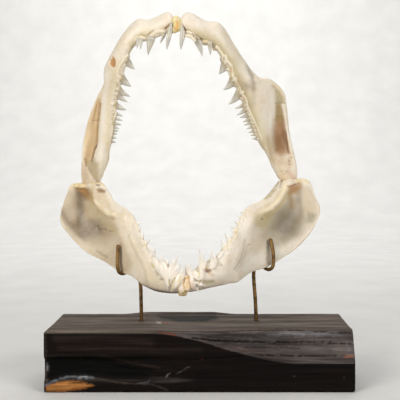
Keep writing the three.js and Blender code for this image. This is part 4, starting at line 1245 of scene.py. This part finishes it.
def gum_strands(half, chance, loops, rooted):
    """Gum round each tooth: a swelling over the root, skirts to both sides and a cord looped behind it."""
    paths = []
    teeth = half["teeth"]
    sunk = np.array([0, 1.0, 0])
    for n, (t, length, w, degrees, _) in enumerate(teeth):
        edge, _, up, _ = tooth_frame(half, t, 0, degrees, half["lean"])
        step = np.linalg.norm(front_place(half, t + 0.01, 1) - front_place(half, t - 0.01, 1)) / 0.02
        at = lambda off, inward, down=0.0: front_place(half, t + off / step, inward) + sunk * down
        if loops or t > rooted:
            run = [edge + up * 0.04 * length + [0, -0.4, 0], at(0, 0.3 * w, 0.14 * w)]
            run += [at(0.05 * w, 0.5 * w, 0.15 * w), at(0.05 * w, 0.62 * w, 0.16 * w)]
            paths.append((run, (0.2 * w, 0.28 * w, 0.24 * w, 0.1 * w)))
        for way in (-1, 1):
            reach = w * chance.uniform(0.8, 1.0)
            skirt = [edge + up * 0.05 * length + [0, -0.4, 0], at(way * 0.4 * w, 0.1)]
            skirt.append(at(way * reach, 0.35 * w, 0.4))
            paths.append((skirt, (0.1 * w, 0.17 * w, 0.12 * w)))
        if loops:
            loop = chance.uniform(0.9, 1.2) * w
            start, end = at(-0.95 * w, 0.5 * w, 0.2), at(0.95 * w, 0.5 * w, 0.2)
            run = [start, at(-0.6 * w, 0.8 * w), at(0, loop), at(0.6 * w, 0.8 * w), end]
            paths.append((run, (0.4, 0.5, 0.55, 0.5, 0.4)))
        # a cord on to the next tooth along the very edge, so that the bays between teeth are rounded
        if n + 1 < len(teeth):
            places = np.linspace(t, teeth[n + 1][0], 6)
            run = [surface(half, np.array(a), np.array(0.01), np.array(0.1)) for a in places]
            paths.append((run, (0.8,) * len(run)))
    # the back: a membrane in low folds over the rows of new teeth
    first, last = teeth[0][0], teeth[-1][0]
    for deep in (5.0, 8.5, 12.0):
        places = np.linspace(max(first, 0.01), last + 0.03, 26)
        run = []
        for a in places:
            ends = spline(half["stations"], np.array(a))
            wide = math.hypot(ends[2] - ends[0], ends[3] - ends[1])
            u = min(0.85, (deep + chance.uniform(-0.7, 0.7)) / wide)
            out = -((2 * math.sqrt(u * (1 - u))) ** 0.6)
            run.append(surface(half, np.array(a), np.array(u), np.array(out)))
        paths.append((run, [1.3 + chance.uniform(-0.3, 0.3) for _ in places]))
    return paths


def tinted_skin(piece, base, crease, crest, marks, seed=0.0, yellow=0.45, lumps=1.0):
    """Colours a melted piece: painted shade in creases, painted highlights on crests, with marks from the
    front view.
    """
    places = places_of(piece)
    deep = hollowness(piece)
    rise = lumps * (wavy(places, 1.5, 2, 2.2 + seed) * 0.12 + wavy(places, 5, 2, 6.1 + seed) * 0.13)
    tint = np.broadcast_to(np.array(linear(base)), places.shape).copy()
    tint = stain_and_shade(tint, crease, 0.85 * smooth(0.01, 0.16, deep))
    tint = stain_and_shade(tint, crest, 0.6 * smooth(0.0, 0.14, -deep))
    tint = stain_and_shade(tint, "#D2B878", yellow * smooth(0.1, 0.8, wavy(places, 9, 2, 13.0 + seed)))
    facing = smooth(0.1, -0.4, outward_of(piece)[:, 1])
    tint, height = painted(places, tint, marks, facing)
    move_to(piece, places + outward_of(piece) * (rise + height)[:, None])
    give_values(piece, "tint", tint)


class JAW_OT_roots(bpy.types.Operator):
    """Lays the bare roots and the gum along the teeth"""

    bl_idname = "jaw.roots"
    bl_label = "Lay the roots and gum"

    def execute(self, context):
        gum, enamel = gum_material(), rooted_material(context.scene.jaw_settings)
        tree = bones_tree()
        chance = random.Random(5)
        lower, upper = ("lower_jaw_left", "lower_jaw_right"), ("upper_jaw_left", "upper_jaw_right")
        for name, blades, cords, depth, marks, tip, tooth, nodes in (
            ("lower_front", LOWER_BLADES, LOWER_CORDS, -40, ROOT_MARKS, "#D6D6D8",
                ("#F3EADD", "#C2A878", "#FBF6EE"), lower),
            # upper front teeth in greyer colours: painted shade, as on the other upper teeth
            ("upper_front", UPPER_BLADES, UPPER_CORDS, -17, UPPER_ROOT_MARKS, "#BDBCB8",
                ("#C2BDB0", "#938763", "#D3CFC4"), upper),
        ):
            whole = joined(blade_mesh("blade", tree, blades, depth), "rooted_teeth_" + name)
            piece = melted(whole, 0.34, 4)
            tips = [line([place[:2] for place in places[:3]], 1.6, 0, tip, 0.6) for clear, places,
                _ in blades if clear == 3]
            tinted_skin(piece, *tooth, tips + marks, yellow=0.15, lumps=0.4)
            finish_piece(piece, "tooth_enameloid", enamel, *nodes)
            paths = [(laid(tree, places, depth, 0.5 - 0.5 * max(radii)), radii) for places, radii in cords]
            piece = melted(strands("gum_cords_" + name, paths, 12), 0.4, 7)
            piece.name = piece.data.name = "gum_cords_" + name
            tinted_skin(piece, "#EDE2CA", "#B0915C", "#F6EEDF", marks + SIDE_GUM_MARKS, yellow=0.3)
            finish_piece(piece, "dried_ligament", gum, *nodes)
        for key, half in HALVES.items():
            piece = melted(strands("gum_" + key, gum_strands(half, chance, "lower" in key, ROOTED[key]),
                12), 0.45, 5)
            piece.name = piece.data.name = "gum_" + key
            tinted_skin(piece, "#ECE1CC", "#BEA26E", "#F4ECDE", SIDE_GUM_MARKS, seed=len(key), yellow=0.3)
            finish_piece(piece, "dried_ligament", gum, half["node"])
        return {"FINISHED"}


# ---- dried ligaments ----
LUMPS = {   # node, lumps as centre and radii in mm, colours, unevenness in mm
    "symphysis_upper": (
        "upper_symphysis",
        [((-23.8, -12.5, 378.6), (5.0, 5.0, 5.8)), ((-22.8, -14, 372.5), (4.8, 4.8, 5.2)),
            ((-25.6, -13, 369.6), (3.4, 3.8, 3.6)),
         ((-19.4, -10, 376), (4.2, 4.5, 6.4)), ((-28.6, -9, 373.6), (3.4, 4.0, 7.4))],
        ("#E8D8A8", "#CFA058", "#EEE0B4"), 0.2,
    ),
    "symphysis_lower": (
        "lower_symphysis",
        [((-16, -30, 101), (5.0, 7.0, 5.8)), ((-17.8, -35, 101.4), (4.6, 4.4, 4.2)),
            ((-15.0, -35, 101), (4.4, 3.8, 4.2)),
         ((-18.6, -34.4, 97.4), (3.2, 3.4, 3.0)), ((-15.2, -34.4, 97.4), (3.2, 3.4, 3.0))],
        ("#C6AE82", "#8E7046", "#DCC9A2"), 0.5,
    ),
    "joint_left": (
        "joint_ligament_left",
        [((-127, 64, 205), (12.0, 8.0, 6.0)), ((-116, 62, 205.6), (7.0, 7.0, 4.6)),
            ((-139, 63, 205.6), (7.0, 6.0, 3.2)),
         ((-132, 58, 205.6), (6.0, 5.0, 3.2))],
        ("#DECBA4", "#B08C5C", "#ECDFC2"), 0.4,
    ),
    "joint_right": (
        "joint_ligament_right",
        [((103, 66, 205), (10.5, 7.5, 6.5)), ((94, 64, 204), (5.5, 6.0, 6.5)),
            ((110, 60, 206.5), (5.0, 5.0, 3.4))],
        ("#D9C8A6", "#98805C", "#EADDC2"), 0.5,
    ),
}


class JAW_OT_ligaments(bpy.types.Operator):
    """Models the dried tissue between the jaw halves"""

    bl_idname = "jaw.ligaments"
    bl_label = "Model the ligaments"

    def execute(self, context):
        material = ligament_material()
        for name, (node, lumps, (base, crease, crest), rough) in LUMPS.items():
            pieces = []
            for centre, radii in lumps:
                nothing_selected()
                bpy.ops.mesh.primitive_ico_sphere_add(subdivisions=4, radius=1)
                piece = bpy.context.object
                co = np.array([v.co[:] for v in piece.data.vertices])
                move_to(piece, co * radii + centre)
                pieces.append(piece)
            whole = melted(joined(pieces, "ligament_" + name), 0.5, 8)
            places = places_of(whole)
            move_to(whole, places + outward_of(whole) * (wavy(places, 4.5, 3) * rough)[:, None])
            tinted_skin(whole, base, crease, crest, AMBER_MARKS if name == "symphysis_upper" else ())
            finish_piece(whole, "dried_ligament", material, node)
        return {"FINISHED"}


AMBER_MARKS = [
    line([(177.2, 22.6), (177.4, 26), (176.2, 28.4)], 2.0, -0.2, "#D9A04C", 0.75),
    line([(174.6, 27), (176.6, 30)], 1.6, 0, "#DDBB78", 0.6),
    line([(174, 18), (174.4, 22)], 1.4, 0, "#EADCAE", 0.6),
]


# ---- mount ----
BLOCK_LENGTH, BLOCK_HEIGHT = 311.5, 61
BLOCK_FRONT, BLOCK_BACK = -54, 50
BLOCK_SKEW = 0.028               # how far the back edge lies to the right, per mm of depth
ROD_RADIUS = 2.0
ROD_LEFT = [
    (-62.6, 9, 45), (-62.6, 9, 64), (-62.9, 9, 82), (-63.9, 9.5, 103), (-67, 10, 113), (-72, 9.6, 116),
    (-77.5, 7, 114), (-82.3, 1.2, 112.9), (-85.4, -3.7, 115.4), (-86.7, -4.7, 120.5), (-87, -1.7, 131),
    (-86.8, 2.8, 144),
]
ROD_RIGHT = [
    (61.9, 9, 45), (61.8, 9, 64), (61.1, 9.6, 82), (59.3, 11, 111), (60.5, 12.5, 120), (65, 14, 124),
    (69, 14, 121.4), (71.4, 13.5, 117.8), (75.5, 8, 116.4), (79, 4.5, 119.5), (80.4, 6, 125.5),
    (79.6, 8.5, 138), (77.3, 12.8, 150),
]


def part_way(a, b, start, end, t):
    return a * (end - t) / (end - start) + b * (t - start) / (end - start)


def even_spline(points, step):
    """A smooth path through unevenly spaced points, as points about step mm apart."""
    points = np.array(points, float)
    points = np.vstack([2 * points[0] - points[1], points, 2 * points[-1] - points[-2]])
    out = []
    for k in range(1, len(points) - 2):
        p = points[k - 1 : k + 3]
        knots = np.concatenate([[0], np.cumsum(np.sqrt(np.linalg.norm(np.diff(p, axis=0), axis=1)))])
        count = max(2, int(np.linalg.norm(p[2] - p[1]) / step))
        for t in np.linspace(knots[1], knots[2], count, endpoint=False):
            a = [part_way(p[i], p[i + 1], knots[i], knots[i + 1], t) for i in range(3)]
            b = [part_way(a[i], a[i + 1], knots[i], knots[i + 2], t) for i in range(2)]
            out.append(part_way(b[0], b[1], knots[1], knots[2], t))
    out.append(points[-2])
    return np.array(out)


class JAW_OT_hooks(bpy.types.Operator):
    """Bends the two brass rods into hooks"""

    bl_idname = "jaw.hooks"
    bl_label = "Bend the hooks"

    def execute(self, context):
        material = brass_material(context.scene.mount_settings)
        for side, route in (("left", ROD_LEFT), ("right", ROD_RIGHT)):
            path = even_spline(route, 1.2)
            radii = np.full(len(path), ROD_RADIUS)
            # hammered a little thinner and rounded off at the tip
            end = np.linalg.norm(path - path[-1], axis=1)
            radii = radii * np.sqrt(np.clip(1 - (1 - np.clip(end / 1.5, 0, 1)) ** 2, 0.02, 1))
            piece = strands("hook_" + side, [(path, radii)], 20, smooth_path=False)
            piece.name = "hook_" + side
            finish_piece(piece, "aged_brass", material, "stand_rod_" + side)
        return {"FINISHED"}


# Runs of the block's outline: how many points each side of a section gets.
BLOCK_RUNS = (40, 2, 9, 5, 22, 5, 22, 22, 84, 2, 44, 2)
BLOCK_MARKS = [
    # front-top arris and bevel edge, worn light
    line([(45, 331.6), (100, 331.2), (152, 331.4)], 0.8, 0, "#A79A88", 0.75),
    line([(45, 332), (46, 360), (46, 391)], 0.7, 0, "#6E655C", 0.6),
    line([(150, 331.2), (165, 333), (190, 338), (209.5, 343.4), (225.8, 348.8), (244, 353.7),
        (259.4, 356.4), (280, 359), (298.5, 360.5), (350.5, 360.9)], 0.7, 0.2, "#7A706A", 0.6),
    # cracks of the worn bevel
    line([(200, 331), (209.5, 331.5), (245, 330), (285, 329.3), (320, 331), (350.5, 333)], 0.6, -1.2,
        "#0E0C0B", 0.9),
    line([(192, 338), (215, 340.6), (244, 341.8), (298, 342.6), (325, 342.6), (351, 343.6)], 0.7, -1.6,
        "#0B0A09", 0.95),
    line([(259.4, 355.3), (300, 355.6), (347, 356.4)], 0.6, -1.2, "#0E0C0B", 0.9),
    line([(230, 347), (262, 347.6), (300, 348.4)], 0.5, -0.5, "#241F1D", 0.6),
    line([(280, 336), (315, 336.6), (345, 338)], 0.5, -0.4, "#2A2422", 0.6),
    line([(215, 335.4), (255, 335.8)], 0.4, -0.3, "#2A2422", 0.5),
    # painted highlights: a pale patch and bluish-grey sheen along the bevel, with brownish and darker smears
    # among them
    patch([(334, 344.5), (342, 343.8), (346, 352), (336, 353.6)], 2.2, 0, "#8C8178", 0.6),
    patch([(226, 344), (258, 350), (262, 354), (240, 351)], 2.5, 0, "#75605A", 0.55),
    line([(268, 334.6), (284, 333), (304, 334)], 1.7, 0, "#A3A4A8", 0.55),
    line([(306, 331), (320, 334.6), (338, 336)], 1.6, 0, "#9EA2A8", 0.55),
    line([(250, 338.6), (276, 340)], 1.5, 0, "#8F8C90", 0.5),
    line([(336, 333), (346, 340), (349, 350)], 2.2, 0, "#9A989C", 0.45),
    line([(316, 344), (330, 350)], 3, 0, "#54504D", 0.5),
    # reddish back edge of the top
    line([(100, 313), (150, 311.6), (200, 311.8), (226, 313)], 1.7, 0, "#7A5340", 0.8),
    line([(140, 311.4), (190, 311)], 1.0, 0, "#8A5E48", 0.6),
    line([(262, 313.6), (285, 314), (304, 314.6)], 1.3, 0, "#6E4A3A", 0.7),
    # painted shadow of the jaw's lower tip on the top
    patch([(157, 315.6), (215, 315), (219, 318), (206, 321.4), (178, 321.6), (162, 318.6)], 2.2, 0,
        "#1A1412", 0.85),
    # chips and bare slivers
    line([(157, 321.4), (160, 322.4)], 1.0, -0.5, "#D9D2C8", 0.9),
    line([(163, 322.6), (168, 323)], 0.7, -0.3, "#A85A34", 0.7),
    line([(158.6, 332), (165, 333), (170, 333.6), (176, 335.2)], 0.8, -0.5, "#A14A22", 0.85),
    line([(344.7, 356.4), (352.6, 356)], 1.0, -0.3, "#C97A4A", 0.85),
    line([(183, 325.6), (198, 325.8)], 1.1, 0, "#7C7672", 0.5),
    line([(262, 321.6), (285, 322)], 0.7, 0, "#9A948E", 0.55),
    # trough: painted shade filling it, painted highlights on the lip above and on the edge below, an orange
    # patch and a crack near its left end
    line([(48, 356), (80, 355.4), (105, 356), (127, 362), (142, 365), (160, 368)], 0.9, 0.5, "#3A2E28", 0.7),
    line([(48, 360), (90, 359), (120, 366), (150, 372)], 3.0, -0.6, "#010101", 0.97),
    patch([(49, 362), (90, 360), (128, 368), (150, 377), (120, 378), (80, 374), (60, 376), (50, 380)], 2.5,
        -1.2, "#010101", 0.98),
    line([(78, 377.5), (89, 377), (101, 379), (119.6, 382.6), (137, 384), (152, 384.7), (167.5, 389.8)],
        0.8, 0.7, "#57504B", 0.75),
    line([(60, 378), (72, 377), (84, 376.4), (94, 378)], 1.0, 0.9, "#9DA3AC", 0.6),
    patch([(46, 386), (58, 382), (72, 380.4), (84, 382), (95, 385.6), (84, 389), (64, 391.4), (46, 391.4)],
        1.0, 0.9, "#E89E58", 0.92),
    line([(50, 388.6), (62, 387), (74, 387.4)], 1.0, 0, "#E0A860", 0.6),
    line([(72, 389), (84, 388), (92, 386)], 1.0, 0, "#8A5226", 0.6),
    line([(70, 383.4), (80, 382.6), (89, 384)], 0.7, -0.6, "#1A120C", 0.9),
    line([(46, 385), (51, 382), (57, 380.6)], 1.2, 0.4, "#8E99A8", 0.75),
    line([(47.4, 364), (47.6, 370)], 1.0, 0.2, "#B8BEC6", 0.8),
    line([(79, 377.6), (84, 377), (87.5, 378)], 0.8, 0.4, "#C5CBD2", 0.8),
    line([(138, 383), (147, 382.4), (150, 380)], 0.6, 0.4, "#7E8288", 0.6),
    # scratches and specks of the dark face
    line([(166, 377), (168, 374.4), (170, 373)], 0.6, -0.3, "#9A9894", 0.75),
    line([(177, 373.6), (180, 372), (184, 369.4), (190, 366)], 0.45, -0.3, "#76706A", 0.7),
    line([(204, 359.6), (222, 357.6), (244, 356.6)], 0.6, -0.9, "#070505", 0.9),
    line([(172, 360.4), (190, 360.8), (206, 359)], 0.6, -0.5, "#0C0908", 0.8),
    line([(202.6, 359.4)], 0.7, 0, "#B8643A", 0.7),
    line([(294.4, 376.5)], 0.6, 0, "#A8A6A4", 0.7),
    line([(344.6, 377.5)], 0.6, 0, "#A8A6A4", 0.7),
    line([(56, 338), (110, 337), (150, 342)], 4.2, 0, "#3E322E", 0.6),
    line([(60, 348), (110, 348.6), (160, 352), (200, 350)], 3.2, 0, "#352A26", 0.55),
]


def block_points(settings):
    """Points round the block, section by section, with sunk ends, and their tint."""
    x = np.linspace(-BLOCK_LENGTH / 2, BLOCK_LENGTH / 2, 250)
    worn = smooth(-48, 100, x)
    bevel_z = BLOCK_HEIGHT - 1.5 - 30 * worn
    bevel_y = BLOCK_FRONT + 1.5 + 13.5 * smooth(-48, 154, x)
    trough = 4 * (1 - smooth(-70, 30, x))
    low, high = np.minimum(12, bevel_z - 16), np.minimum(36, bevel_z - 4)
    one = np.ones_like(x)
    corners = [
        (BLOCK_BACK - 1.2, 0 * one), (BLOCK_FRONT + 1.2, 0 * one), (BLOCK_FRONT, 1.2 * one),
        (BLOCK_FRONT, low - 2), (BLOCK_FRONT + trough, low + 3), (BLOCK_FRONT + trough, high - 3),
        (BLOCK_FRONT, high), (BLOCK_FRONT, bevel_z), (bevel_y, BLOCK_HEIGHT * one),
        (BLOCK_BACK - 2, BLOCK_HEIGHT * one), (BLOCK_BACK, (BLOCK_HEIGHT - 2) * one), (BLOCK_BACK, 1.2 * one),
    ]
    corners = [np.stack([y * one, z * one], -1) for y, z in corners]
    runs = []
    for k, count in enumerate(BLOCK_RUNS):
        a, b = corners[k], corners[(k + 1) % len(corners)]
        f = (np.arange(count) / count)[None, :, None]
        runs.append(a[:, None] * (1 - f) + b[:, None] * f)
    ring = np.concatenate(runs, 1)
    for _ in range(3):   # eases the corners
        ring = 0.5 * ring + 0.25 * (np.roll(ring, 1, 1) + np.roll(ring, -1, 1))
    points = np.concatenate([np.broadcast_to(x[:, None, None], ring.shape[:2] + (1,)), ring], -1)
    points[..., 0] += BLOCK_SKEW * (points[..., 1] - BLOCK_FRONT)

    normal = np.zeros_like(points)
    d = np.roll(ring, -1, 1) - np.roll(ring, 1, 1)
    normal[..., 1], normal[..., 2] = -d[..., 1], d[..., 0]
    normal = unit(normal)
    if (normal[..., 2] * (points[..., 2] - 30)).sum() < 0:
        normal = -normal

    # raised grain, saw waves, and the ease of the two ends
    stretched = points * [1 / 22, 1, 1]
    grain = wavy(stretched, 2.6, 3, 1.7) * 0.32 + wavy(stretched, 9, 2, 5.1) * 0.35
    on_base = smooth(2.5, 0.5, points[..., 2])
    height = grain * (1 - on_base) - 0.3 * (1 - on_base)

    top = smooth(0.5, 0.9, normal[..., 2])
    bevel = smooth(0.15, 0.5, normal[..., 2]) * (1 - top) * smooth(-60, 0, points[..., 0])
    ahead = smooth(1.0, -1.0, points[..., 1] - bevel_y[:, None])
    bevel = np.maximum(bevel, top * ahead * smooth(-48, 0, points[..., 0]))
    # waney edge left standing along the back
    along = smooth(-88, -55, points[..., 0]) * (1 - smooth(12, 45, points[..., 0]))
    lip = smooth(38, 49, points[..., 1]) * along
    height += 2.4 * lip * top
    tint = np.broadcast_to(np.array(settings.char[:]), points.shape).copy()
    tint = stain_and_shade(tint, "#8A7E74", top * 0.95)
    tint = stain_and_shade(tint, "#8A8282", bevel * 0.9)
    seen = np.maximum(smooth(-0.2, -0.6, normal[..., 1]), np.maximum(top, bevel))
    tint, carved = painted(points, tint, BLOCK_MARKS, seen, 0.8)
    height += carved
    # round each rod's foot: a shallow recess with painted shade in it
    for foot in (ROD_LEFT[0], ROD_RIGHT[0]):
        near = np.hypot(points[..., 0] - foot[0], points[..., 1] - foot[1])
        w = np.exp(-((near / 2.6) ** 2)) * top
        height -= 1.0 * w
        tint = stain_and_shade(tint, "#0C0A09", w * 0.85)
    points = points + normal * height[..., None]
    points[..., 2] = np.maximum(points[..., 2], 0)

    # ends: rings drawn in to the middle, a little hollow from the saw
    def cap(section, shade, sign):
        centre = section.mean(0)
        rings, shades = [], []
        for k, scale in enumerate(RING_SCALES):
            ring_k = centre + (section - centre) * scale
            rough = wavy(ring_k * [1, 0.35, 1], 3.2, 3, 8.8) * 0.3
            ring_k[:, 0] = section[:, 0].mean() - sign * (rough * 0.5 + 0.2) + sign * (0.6 if k else 0.2)
            rings.append(ring_k)
            shades.append(mix(shade, np.array(linear("#241F1D")), 0.85 if k else 0.4))
        return np.array(rings), np.array(shades)

    first, first_shade = cap(points[0], tint[0], -1)
    last, last_shade = cap(points[-1], tint[-1], 1)
    points = np.concatenate([first[::-1], points, last])
    tint = np.concatenate([first_shade[::-1], tint, last_shade])
    points = np.concatenate([points, points[:, :1]], 1)
    tint = np.concatenate([tint, tint[:, :1]], 1)
    return points, tint


# Rings that close each end of the block, as parts of its outline.
RING_SCALES = (0.985, 0.95, 0.89, 0.82, 0.74, 0.66, 0.58, 0.5, 0.42, 0.34, 0.26, 0.18, 0.1, 0.03)


class JAW_OT_block(bpy.types.Operator):
    """Carves the charred block with its worn edge, trough and cracks"""

    bl_idname = "jaw.block"
    bl_label = "Carve the block"

    def execute(self, context):
        settings = context.scene.mount_settings
        points, tint = block_points(settings)
        piece, i, j = grid_of("block", points)
        give_values(piece, "tint", tint[i, j])
        close_up(piece, 1e-6)
        bpy.ops.object.shade_smooth_by_angle(angle=math.radians(40))
        finish_piece(piece, "charred_wood", charred_material(settings), "stand_base")
        return {"FINISHED"}


# ---- stage ----
class JAW_OT_stage(bpy.types.Operator):
    """Sets the paper floor, the soft lights and the camera"""

    bl_idname = "jaw.stage"
    bl_label = "Set the stage"

    def execute(self, context):
        settings = context.scene.stage_settings
        nothing_selected()
        # floor that sweeps up behind the jaw
        bpy.ops.mesh.primitive_grid_add(x_subdivisions=8, y_subdivisions=48, size=1)
        floor = context.object
        floor.name = "studio_sweep"
        for v in floor.data.vertices:
            k = v.co.y + 0.5
            run = k * 7.4 - 2.4
            rise = max(0.0, run - 1.6)
            bend = 1.1
            if rise <= 0:
                y, z = run, 0.0
            elif rise < bend * math.pi / 2:
                y, z = 1.6 + bend * math.sin(rise / bend), bend * (1 - math.cos(rise / bend))
            else:
                y, z = 1.6 + bend, bend + rise - bend * math.pi / 2
            v.co = (v.co.x * 9, y, z - 0.0002)
        bpy.ops.object.shade_smooth()
        floor.data.materials.append(stage_material(settings.paper))

        for name, place, target, size, power, colour in (
            ("key_softbox", (-1.0, -1.15, 0.95), (0, 0, 0.24), 0.8, settings.key_power, "#FFFCF6"),
            ("fill_softbox", (1.1, -1.1, 0.8), (0, 0, 0.24), 0.8, settings.fill_power, "#FFFDFA"),
            ("top_softbox", (0.1, 0.1, 1.5), (0, 0, 0.1), 0.9, settings.top_power, "#FFFFFF"),
            ("paper_softbox", (0, 1.3, 2.2), (0, 3.2, 0.7), 2.0, settings.paper_power, "#FFFFFF"),
        ):
            light = bpy.data.lights.new(name, "AREA")
            light.shape = "SQUARE"
            light.size = size
            light.energy = power
            light.color = linear(colour)
            lamp = bpy.data.objects.new(name, light)
            context.scene.collection.objects.link(lamp)
            lamp.location = place
            lamp.rotation_euler = (Vector(target) - Vector(place)).to_track_quat("-Z", "Y").to_euler()

        world = bpy.data.worlds.new("studio_air")
        world.use_nodes = True
        back = world.node_tree.nodes["Background"]
        back.inputs["Color"].default_value = rgba("#E9EAEC")
        back.inputs["Strength"].default_value = settings.air
        context.scene.world = world

        lens = bpy.data.cameras.new("front_camera")
        lens.sensor_width = 36
        lens.lens = REACH / 400 * 36
        camera = bpy.data.objects.new("front_camera", lens)
        context.scene.collection.objects.link(camera)
        camera.location = EYE * MM
        camera.rotation_euler = (math.pi / 2 - PITCH, 0, 0)
        context.scene.camera = camera
        context.scene.view_settings.view_transform = "Standard"
        context.scene.view_settings.exposure = settings.exposure
        return {"FINISHED"}


# ---- settings, panel, running ----
class JawSettings(bpy.types.PropertyGroup):
    cartilage: bpy.props.FloatVectorProperty(
        name="Cartilage", description="Base colour of the dried cartilage", subtype="COLOR", size=3, min=0,
        max=1, default=linear("#ECE2D2"),
    )
    cartilage_roughness: bpy.props.FloatProperty(
        name="Cartilage roughness", description="Satin of the cartilage, lower is shinier",
        subtype="FACTOR", min=0.1, max=0.8, default=0.42,
    )
    surface_relief: bpy.props.FloatProperty(
        name="Skin relief", description="Depth of the fine lumps in the cartilage", unit="LENGTH", min=0,
        max=0.002, default=0.0003,
    )
    tooth_roughness: bpy.props.FloatProperty(
        name="Tooth roughness", description="Polish of the tooth tips, lower is shinier", subtype="FACTOR",
        min=0.02, max=0.6, default=0.2,
    )


class MountSettings(bpy.types.PropertyGroup):
    char: bpy.props.FloatVectorProperty(
        name="Char", description="Base colour of the burnt wood", subtype="COLOR", size=3, min=0, max=1,
        default=linear("#170E0B"),
    )
    grain_depth: bpy.props.FloatProperty(
        name="Grain depth", description="Depth of the brushed grain", unit="LENGTH", min=0, max=0.003,
        default=0.0006,
    )
    brass: bpy.props.FloatVectorProperty(
        name="Brass", description="Colour of the rods", subtype="COLOR", size=3, min=0, max=1,
        default=linear("#7F6440"),
    )


class StageSettings(bpy.types.PropertyGroup):
    paper: bpy.props.FloatVectorProperty(
        name="Paper", description="Colour of the floor", subtype="COLOR", size=3, min=0, max=1,
        default=linear("#D6D5D2"),
    )
    key_power: bpy.props.FloatProperty(name="Key light", description="Power of the left softbox",
        unit="POWER", min=0, default=18.5)
    fill_power: bpy.props.FloatProperty(name="Fill light", description="Power of the right softbox",
        unit="POWER", min=0, default=14.2)
    top_power: bpy.props.FloatProperty(name="Top light", description="Power of the overhead softbox",
        unit="POWER", min=0, default=4)
    paper_power: bpy.props.FloatProperty(name="Paper light",
        description="Power of the lamp on the backdrop", unit="POWER", min=0, default=55)
    air: bpy.props.FloatProperty(name="Air light", description="Brightness of the room all round",
        subtype="FACTOR", min=0, max=2, default=0.15)
    exposure: bpy.props.FloatProperty(name="Exposure", description="Stops added to the picture", min=-3,
        max=3, default=0)


class JAW_PT_panel(bpy.types.Panel):
    """Lists the pieces of the mounted jaw"""

    bl_idname = "JAW_PT_panel"
    bl_label = "Shark Jaw"
    bl_space_type = "VIEW_3D"
    bl_region_type = "UI"
    bl_category = "Shark Jaw"

    def draw(self, context):
        for group in ("jaw_settings", "mount_settings", "stage_settings"):
            box = self.layout.box()
            settings = getattr(context.scene, group)
            for name in settings.__annotations__:
                box.prop(settings, name)
        for operator in OPERATORS:
            self.layout.operator(operator.bl_idname)


GROUPS = {"jaw_settings": JawSettings, "mount_settings": MountSettings, "stage_settings": StageSettings}
OPERATORS = (JAW_OT_bones, JAW_OT_teeth, JAW_OT_roots, JAW_OT_ligaments, JAW_OT_hooks, JAW_OT_block,
    JAW_OT_stage)
CLASSES = (*GROUPS.values(), *OPERATORS, JAW_PT_panel)


def register():
    for cls in CLASSES:
        bpy.utils.register_class(cls)
    for name, group in GROUPS.items():
        setattr(bpy.types.Scene, name, bpy.props.PointerProperty(type=group))


def unregister():
    for name in GROUPS:
        delattr(bpy.types.Scene, name)
    for cls in reversed(CLASSES):
        bpy.utils.unregister_class(cls)


def main():
    register()
    bpy.ops.jaw.bones()
    bpy.ops.jaw.teeth()
    bpy.ops.jaw.roots()
    bpy.ops.jaw.ligaments()
    bpy.ops.jaw.hooks()
    bpy.ops.jaw.block()
    bpy.ops.jaw.stage()


if __name__ == "__main__":
    main()
